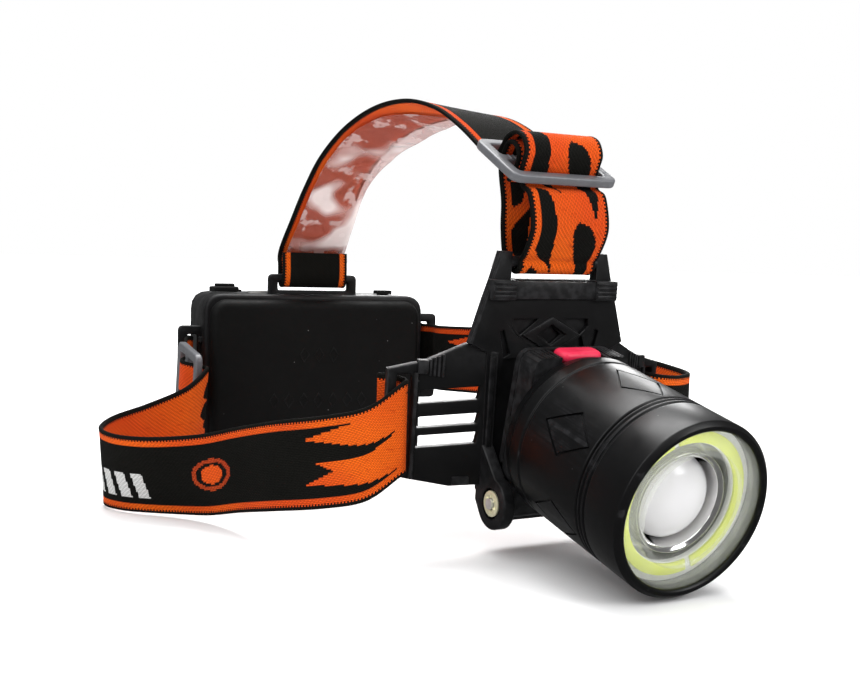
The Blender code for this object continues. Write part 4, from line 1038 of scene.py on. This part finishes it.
def make_bracket():
    half = [(13.6, 3.0), (19.2, 12.4), (20.0, 50.0), (24.9, 52.4), (21.2, 64.3), (19.4, 69.5), (17.2, 77.0),
            (13.9, 77.0), (13.9, 69.8)]
    outline = mirrored(half)
    wedge = [(-12.2, 59.0), (-4.2, 59.0), (-9.9, 54.7), (-12.4, 57.0)]
    lower = [(-12.0, 55.8), (-10.6, 54.4), (-1.4, 49.2), (-1.4, 46.6)]
    slit = [(-16.3, 55.6), (-15.0, 56.0), (-12.6, 49.6), (-14.6, 48.6)]
    gem = [(0.0, 57.3), (3.3, 54.7), (0.0, 52.1), (-3.3, 54.7)]
    holes = [gem]
    for shape in (wedge, lower, slit):
        holes += [shape, [(-x, z) for x, z in reversed(shape)]]
    parts = [slab(outline, (1.1, PLATE_T), bevel=0.4), slab(outline, (0, 1.3), holes, 0.28)]
    frame_out = [(0, 59.6), (9.4, 54.7), (0, 49.8), (-9.4, 54.7)]
    frame_in = [(0, 57.5), (4.8, 54.7), (0, 51.9), (-4.8, 54.7)]
    parts.append(slab(frame_out, (-0.7, 0.4), [frame_in], 0.25))
    # the cross band with its ribbed ends
    parts.append(block((-13.4, -1.5, 64.5), (13.4, 1.0, 69.3), 0.35))
    for side in (-1, 1):
        low, high = sorted((side * 13.0, side * 20.3))
        parts.append(block((low, -1.9, 64.2), (high, 1.6, 69.6), 0.3))
        for k in range(4):
            z = 65.0 + 1.15 * k
            parts.append(block((low + 0.3, -2.3, z), (high - 0.3, -1.6, z + 0.62), 0.18))
        parts += make_wing(side)
        parts.append(make_ear(side))
        # a stiffening rib down each side of the plate
        rib = [(side * x, z) for x, z in ((17.3, 20.0), (18.7, 20.0), (18.9, 49.0), (17.5, 49.0))]
        parts.append(slab(rib, (-0.6, 0.6), bevel=0.25))
    parts.append(block((-13.4, -1.5, 3.6), (13.4, 1.5, 5.9), 0.4))
    bar = Matrix.Translation((0, PLATE_T / 2, STRAP_BAR_Z)) @ turn(90, "Y")
    parts.append(revolved([(0, -15), (STRAP_BAR_R, -15), (STRAP_BAR_R, 15), (0, 15)], 24, bar))
    piece("bracket_moulding", merged(*parts), BRACKET, "plastic", "root", ["front_bracket"],
          angle=30)
    dress("hinge_pin", "steel", 0.3)
    for side, node in ((-1, "pin_clip_right"), (1, "pin_clip_left")):
        place = hinge_place(side, EAR_X[1] - 0.4)
        ring = revolved(rounded([(3.5, 0.35), (3.5, -0.35), (1.7, -0.35), (1.7, 0.35)], 0.15, 2), 48, place)
        teeth = [fixed(block((1.6, -0.3, -0.3), (2.6, 0.3, 0.62), 0.12, place @ turn(60 * k, "Z")))
                 for k in range(6)]
        piece(node + "_washer", merged(ring, *teeth), BRACKET, "zinc", "root", [node])


# ---------------------------------------------------------------- battery box
CUSHION_CELLS, CUSHION_CROWN = (96, 72), 3.2
CUSHION_CORNER, CUSHION_DEPTH, CUSHION_LOW = BOX_R - 1, PAD_T - 0.3, 2.0


def eased(k, cells):
    """Even steps from -1 to 1, drawn closer together towards both ends."""
    a = k / cells * 2 - 1
    return 1.5 * a - 0.5 * a ** 3


def cushion_point(x, z):
    """A point of the swollen face: the square grid's corners are pulled in onto the rounded ones."""
    from_x, from_z = PAD_W / 2 - CUSHION_CORNER, PAD_H / 2 - CUSHION_CORNER
    cx, cz = max(0, abs(x) - from_x), max(0, abs(z) - from_z)
    if cx > 0 and cz > 0:
        reach = max(cx, cz)
        length = (cx * cx + cz * cz) ** 0.5
        x = (from_x + cx * reach / length) * (1 if x > 0 else -1)
        z = (from_z + cz * reach / length) * (1 if z > 0 else -1)
        inset = CUSHION_CORNER - reach
    else:
        inset = min(PAD_W / 2 - abs(x), PAD_H / 2 - abs(z))
    t = min(1.0, max(0.0, inset / CUSHION_CROWN))
    return x, -0.3 - CUSHION_DEPTH * (1 - (1 - t) ** 2.4) ** 0.5, CUSHION_LOW + PAD_H / 2 + z


def cushion():
    """The pad's face, which swells slightly and rolls over at its edge, closed by one flat back."""
    columns, rows = CUSHION_CELLS
    bm = bmesh.new()
    grid = [[bm.verts.new(cushion_point(eased(i, columns) * PAD_W / 2, eased(j, rows) * PAD_H / 2))
             for i in range(columns + 1)] for j in range(rows + 1)]
    for a, b in zip(grid, grid[1:]):
        for i in range(columns):
            bm.faces.new((a[i], a[i + 1], b[i + 1], b[i]))
    right, left = [line[-1] for line in grid], [line[0] for line in grid]
    bm.faces.new(grid[0][:-1] + right[:-1] + grid[-1][:0:-1] + left[:0:-1])
    return fixed(bm)


def make_box():
    outline = rounded(rectangle(-BOX_W / 2, BOX_W / 2, 0, BOX_H), BOX_R, 10)
    inner = rounded(rectangle(-BOX_W / 2 + WALL, BOX_W / 2 - WALL, 4.6, BOX_H - WALL), BOX_R - WALL, 8)
    front = slab(outline, (0, 3.4), bevel=1.6, steps=4)
    inset, middle = 0.9985, BOX_H / 2        # the ring's skin lies just inside the front's
    ring = slab([(x * inset, (z - middle) * inset + middle) for x, z in outline], (2.6, BOX_D), [inner], 0.3)
    port = block((PORT_X - 5.0, PORT_Y - 2.2, BOX_H - 6), (PORT_X + 5.0, PORT_Y + 2.2, BOX_H + 4), 0.0)
    gland = outward(revolved([(2.6, -6), (2.6, 4), (0, 4), (0, -6)], 32, Matrix.Translation((30, 13, BOX_H))))
    rebates = [block((x - 8.3, 23.0, -2), (x + 8.3, BOX_D + 3, 5.0), 0.0) for x in (-20.0, 20.0)]
    parts = [front, carved(ring, port, gland, *rebates)]
    for side, low, high in ((-1, 19.0, 52.0), (1, 24.0, 57.0)):
        place = Matrix.Scale(side, 4, (1, 0, 0)) @ Matrix.Translation((BOX_W / 2, 0, 0))
        ear = slab(rounded(rectangle(-5.0, 8.2, low, high), 2.0, 4), (6.0, 9.0),
                   [rounded(rectangle(1.4, 5.2, low + 3.2, high - 3.2), 0.8, 2)], 0.5, place=place)
        parts.append(ear)
        parts += [fixed(block((-1.0, 3.6, z), (1.2, 6.4, z + 2), 0.4, place)) for z in (low + 4, high - 6)]
    parts.append(slab(rounded(rectangle(-17, 17, BOX_H - 4, BOX_H + 7.4), 2.0, 4), (6.0, 9.0),
                      [rounded(rectangle(-13.6, 13.6, BOX_H + 1.4, BOX_H + 4.6), 0.8, 2)], 0.5))
    piece("battery_box_shell", merged(*parts), CASE, "plastic", "root", ["battery_case"])
    piece("box_front_cushion", pad_shape(), CASE, "rubber", "root", ["front_pad"], angle=80)
    for end in ("lower", "upper"):
        dress("battery_cell_" + end, "wrap", 0.3)
        dress("contact_spring_" + end, "steel")
        dress("contact_plate_" + end, "steel")
    for node, look, bevel in (("battery_cover", "plastic", 0.4), ("cover_pin", "steel", 0.0),
                              ("charge_port", "steel", 0.0), ("charge_board", "board", 0.0),
                              ("box_cable_gland", "rubber", 0.2)):
        dress(node, look, bevel)


def pad_shape():
    # two rows of plain moulded lozenges, raised a little from the pad's face
    marks = []
    for z, count, pitch in ((42.0, 3, 5.6), (25.0, 7, 5.6)):
        for k in range(count):
            x = (k - (count - 1) / 2) * pitch
            out = [(x - 1.9, z), (x, z + 2.9), (x + 1.9, z), (x, z - 2.9)]
            within = [(x + (a - x) * 0.72, z + (b - z) * 0.72) for a, b in out]
            marks.append(slab(out, (-PAD_T - 0.22, -PAD_T + 0.4), [within], 0.06, steps=1))
    return merged(cushion(), *marks)


def make_plug():
    """The charging port's rubber plug, folded back on its tie."""
    axis = Vector((PORT_X - 6.6, PORT_Y, BOX_H + 1.7))
    shift = Matrix.Translation(axis)
    low = -1.4
    cap = slab(rounded(rectangle(-12.4, -1.6, -2.6, 2.6), 2.4, 6), (low, low + 2.0), bevel=0.6, plane="XY",
               steps=3, place=shift)
    tie = block((-2.4, -1.2, low + 0.1), (-0.6, 1.2, low + 0.9), 0.25, shift)
    stub = slab(rounded(rectangle(-10.5, -3.1, -1.1, 1.1), 1.0, 6), (low + 1.8, low + 3.1), bevel=0.4,
                plane="XY", steps=3, place=shift)
    piece("port_plug_cap", merged(cap, tie, stub), CASE, "rubber", "charge_plug", ["port_plug"],
          angle=50)


# ---------------------------------------------------------------- sliders
def slider_shape():
    """A tri-glide: an oblong frame with rounded bars and a roughened middle bar."""
    w, length, t = SLIDER
    bar = SLIDER_BAR
    holes = [rounded(rectangle(-w / 2 + bar, w / 2 - bar, y0, y1), 1.2, 4)
             for y0, y1 in ((bar / 2, length / 2 - bar), (-length / 2 + bar, -bar / 2))]
    outline = rounded(rectangle(-w / 2, w / 2, -length / 2, length / 2), 3.4, 8)
    body = slab(outline, (-t / 2, t / 2), holes, 0.62, plane="XY", steps=4)
    teeth = [block((x - 0.3, -bar / 2 + 0.3, t / 2 - 0.5), (x + 0.3, bar / 2 - 0.3, t / 2 + 0.18), 0.12)
             for x in np.arange(-w / 2 + bar + 1.6, w / 2 - bar - 1.2, 1.5)]
    return merged(body, *teeth)


def make_sliders():
    for name, (centre, along, normal) in (("slider_right", RIGHT_SLIDER), ("slider_left", LEFT_SLIDER),
                                          ("slider_top", TOP_SLIDER)):
        along, normal = Vector(along).normalized(), Vector(normal).normalized()
        turned_to = Matrix((along.cross(normal), along, normal)).transposed().to_4x4()
        place = TABLE @ Matrix.Translation(centre) @ turned_to
        piece(name + "_frame", slider_shape(), place, "grey", "root", [name], angle=50)


make_camera()
make_world()
make_floor()
make_lights()
make_side_straps()
make_top_strap()
make_lamp()
make_housing_looks()
make_bracket()
make_box()
make_plug()
make_sliders()
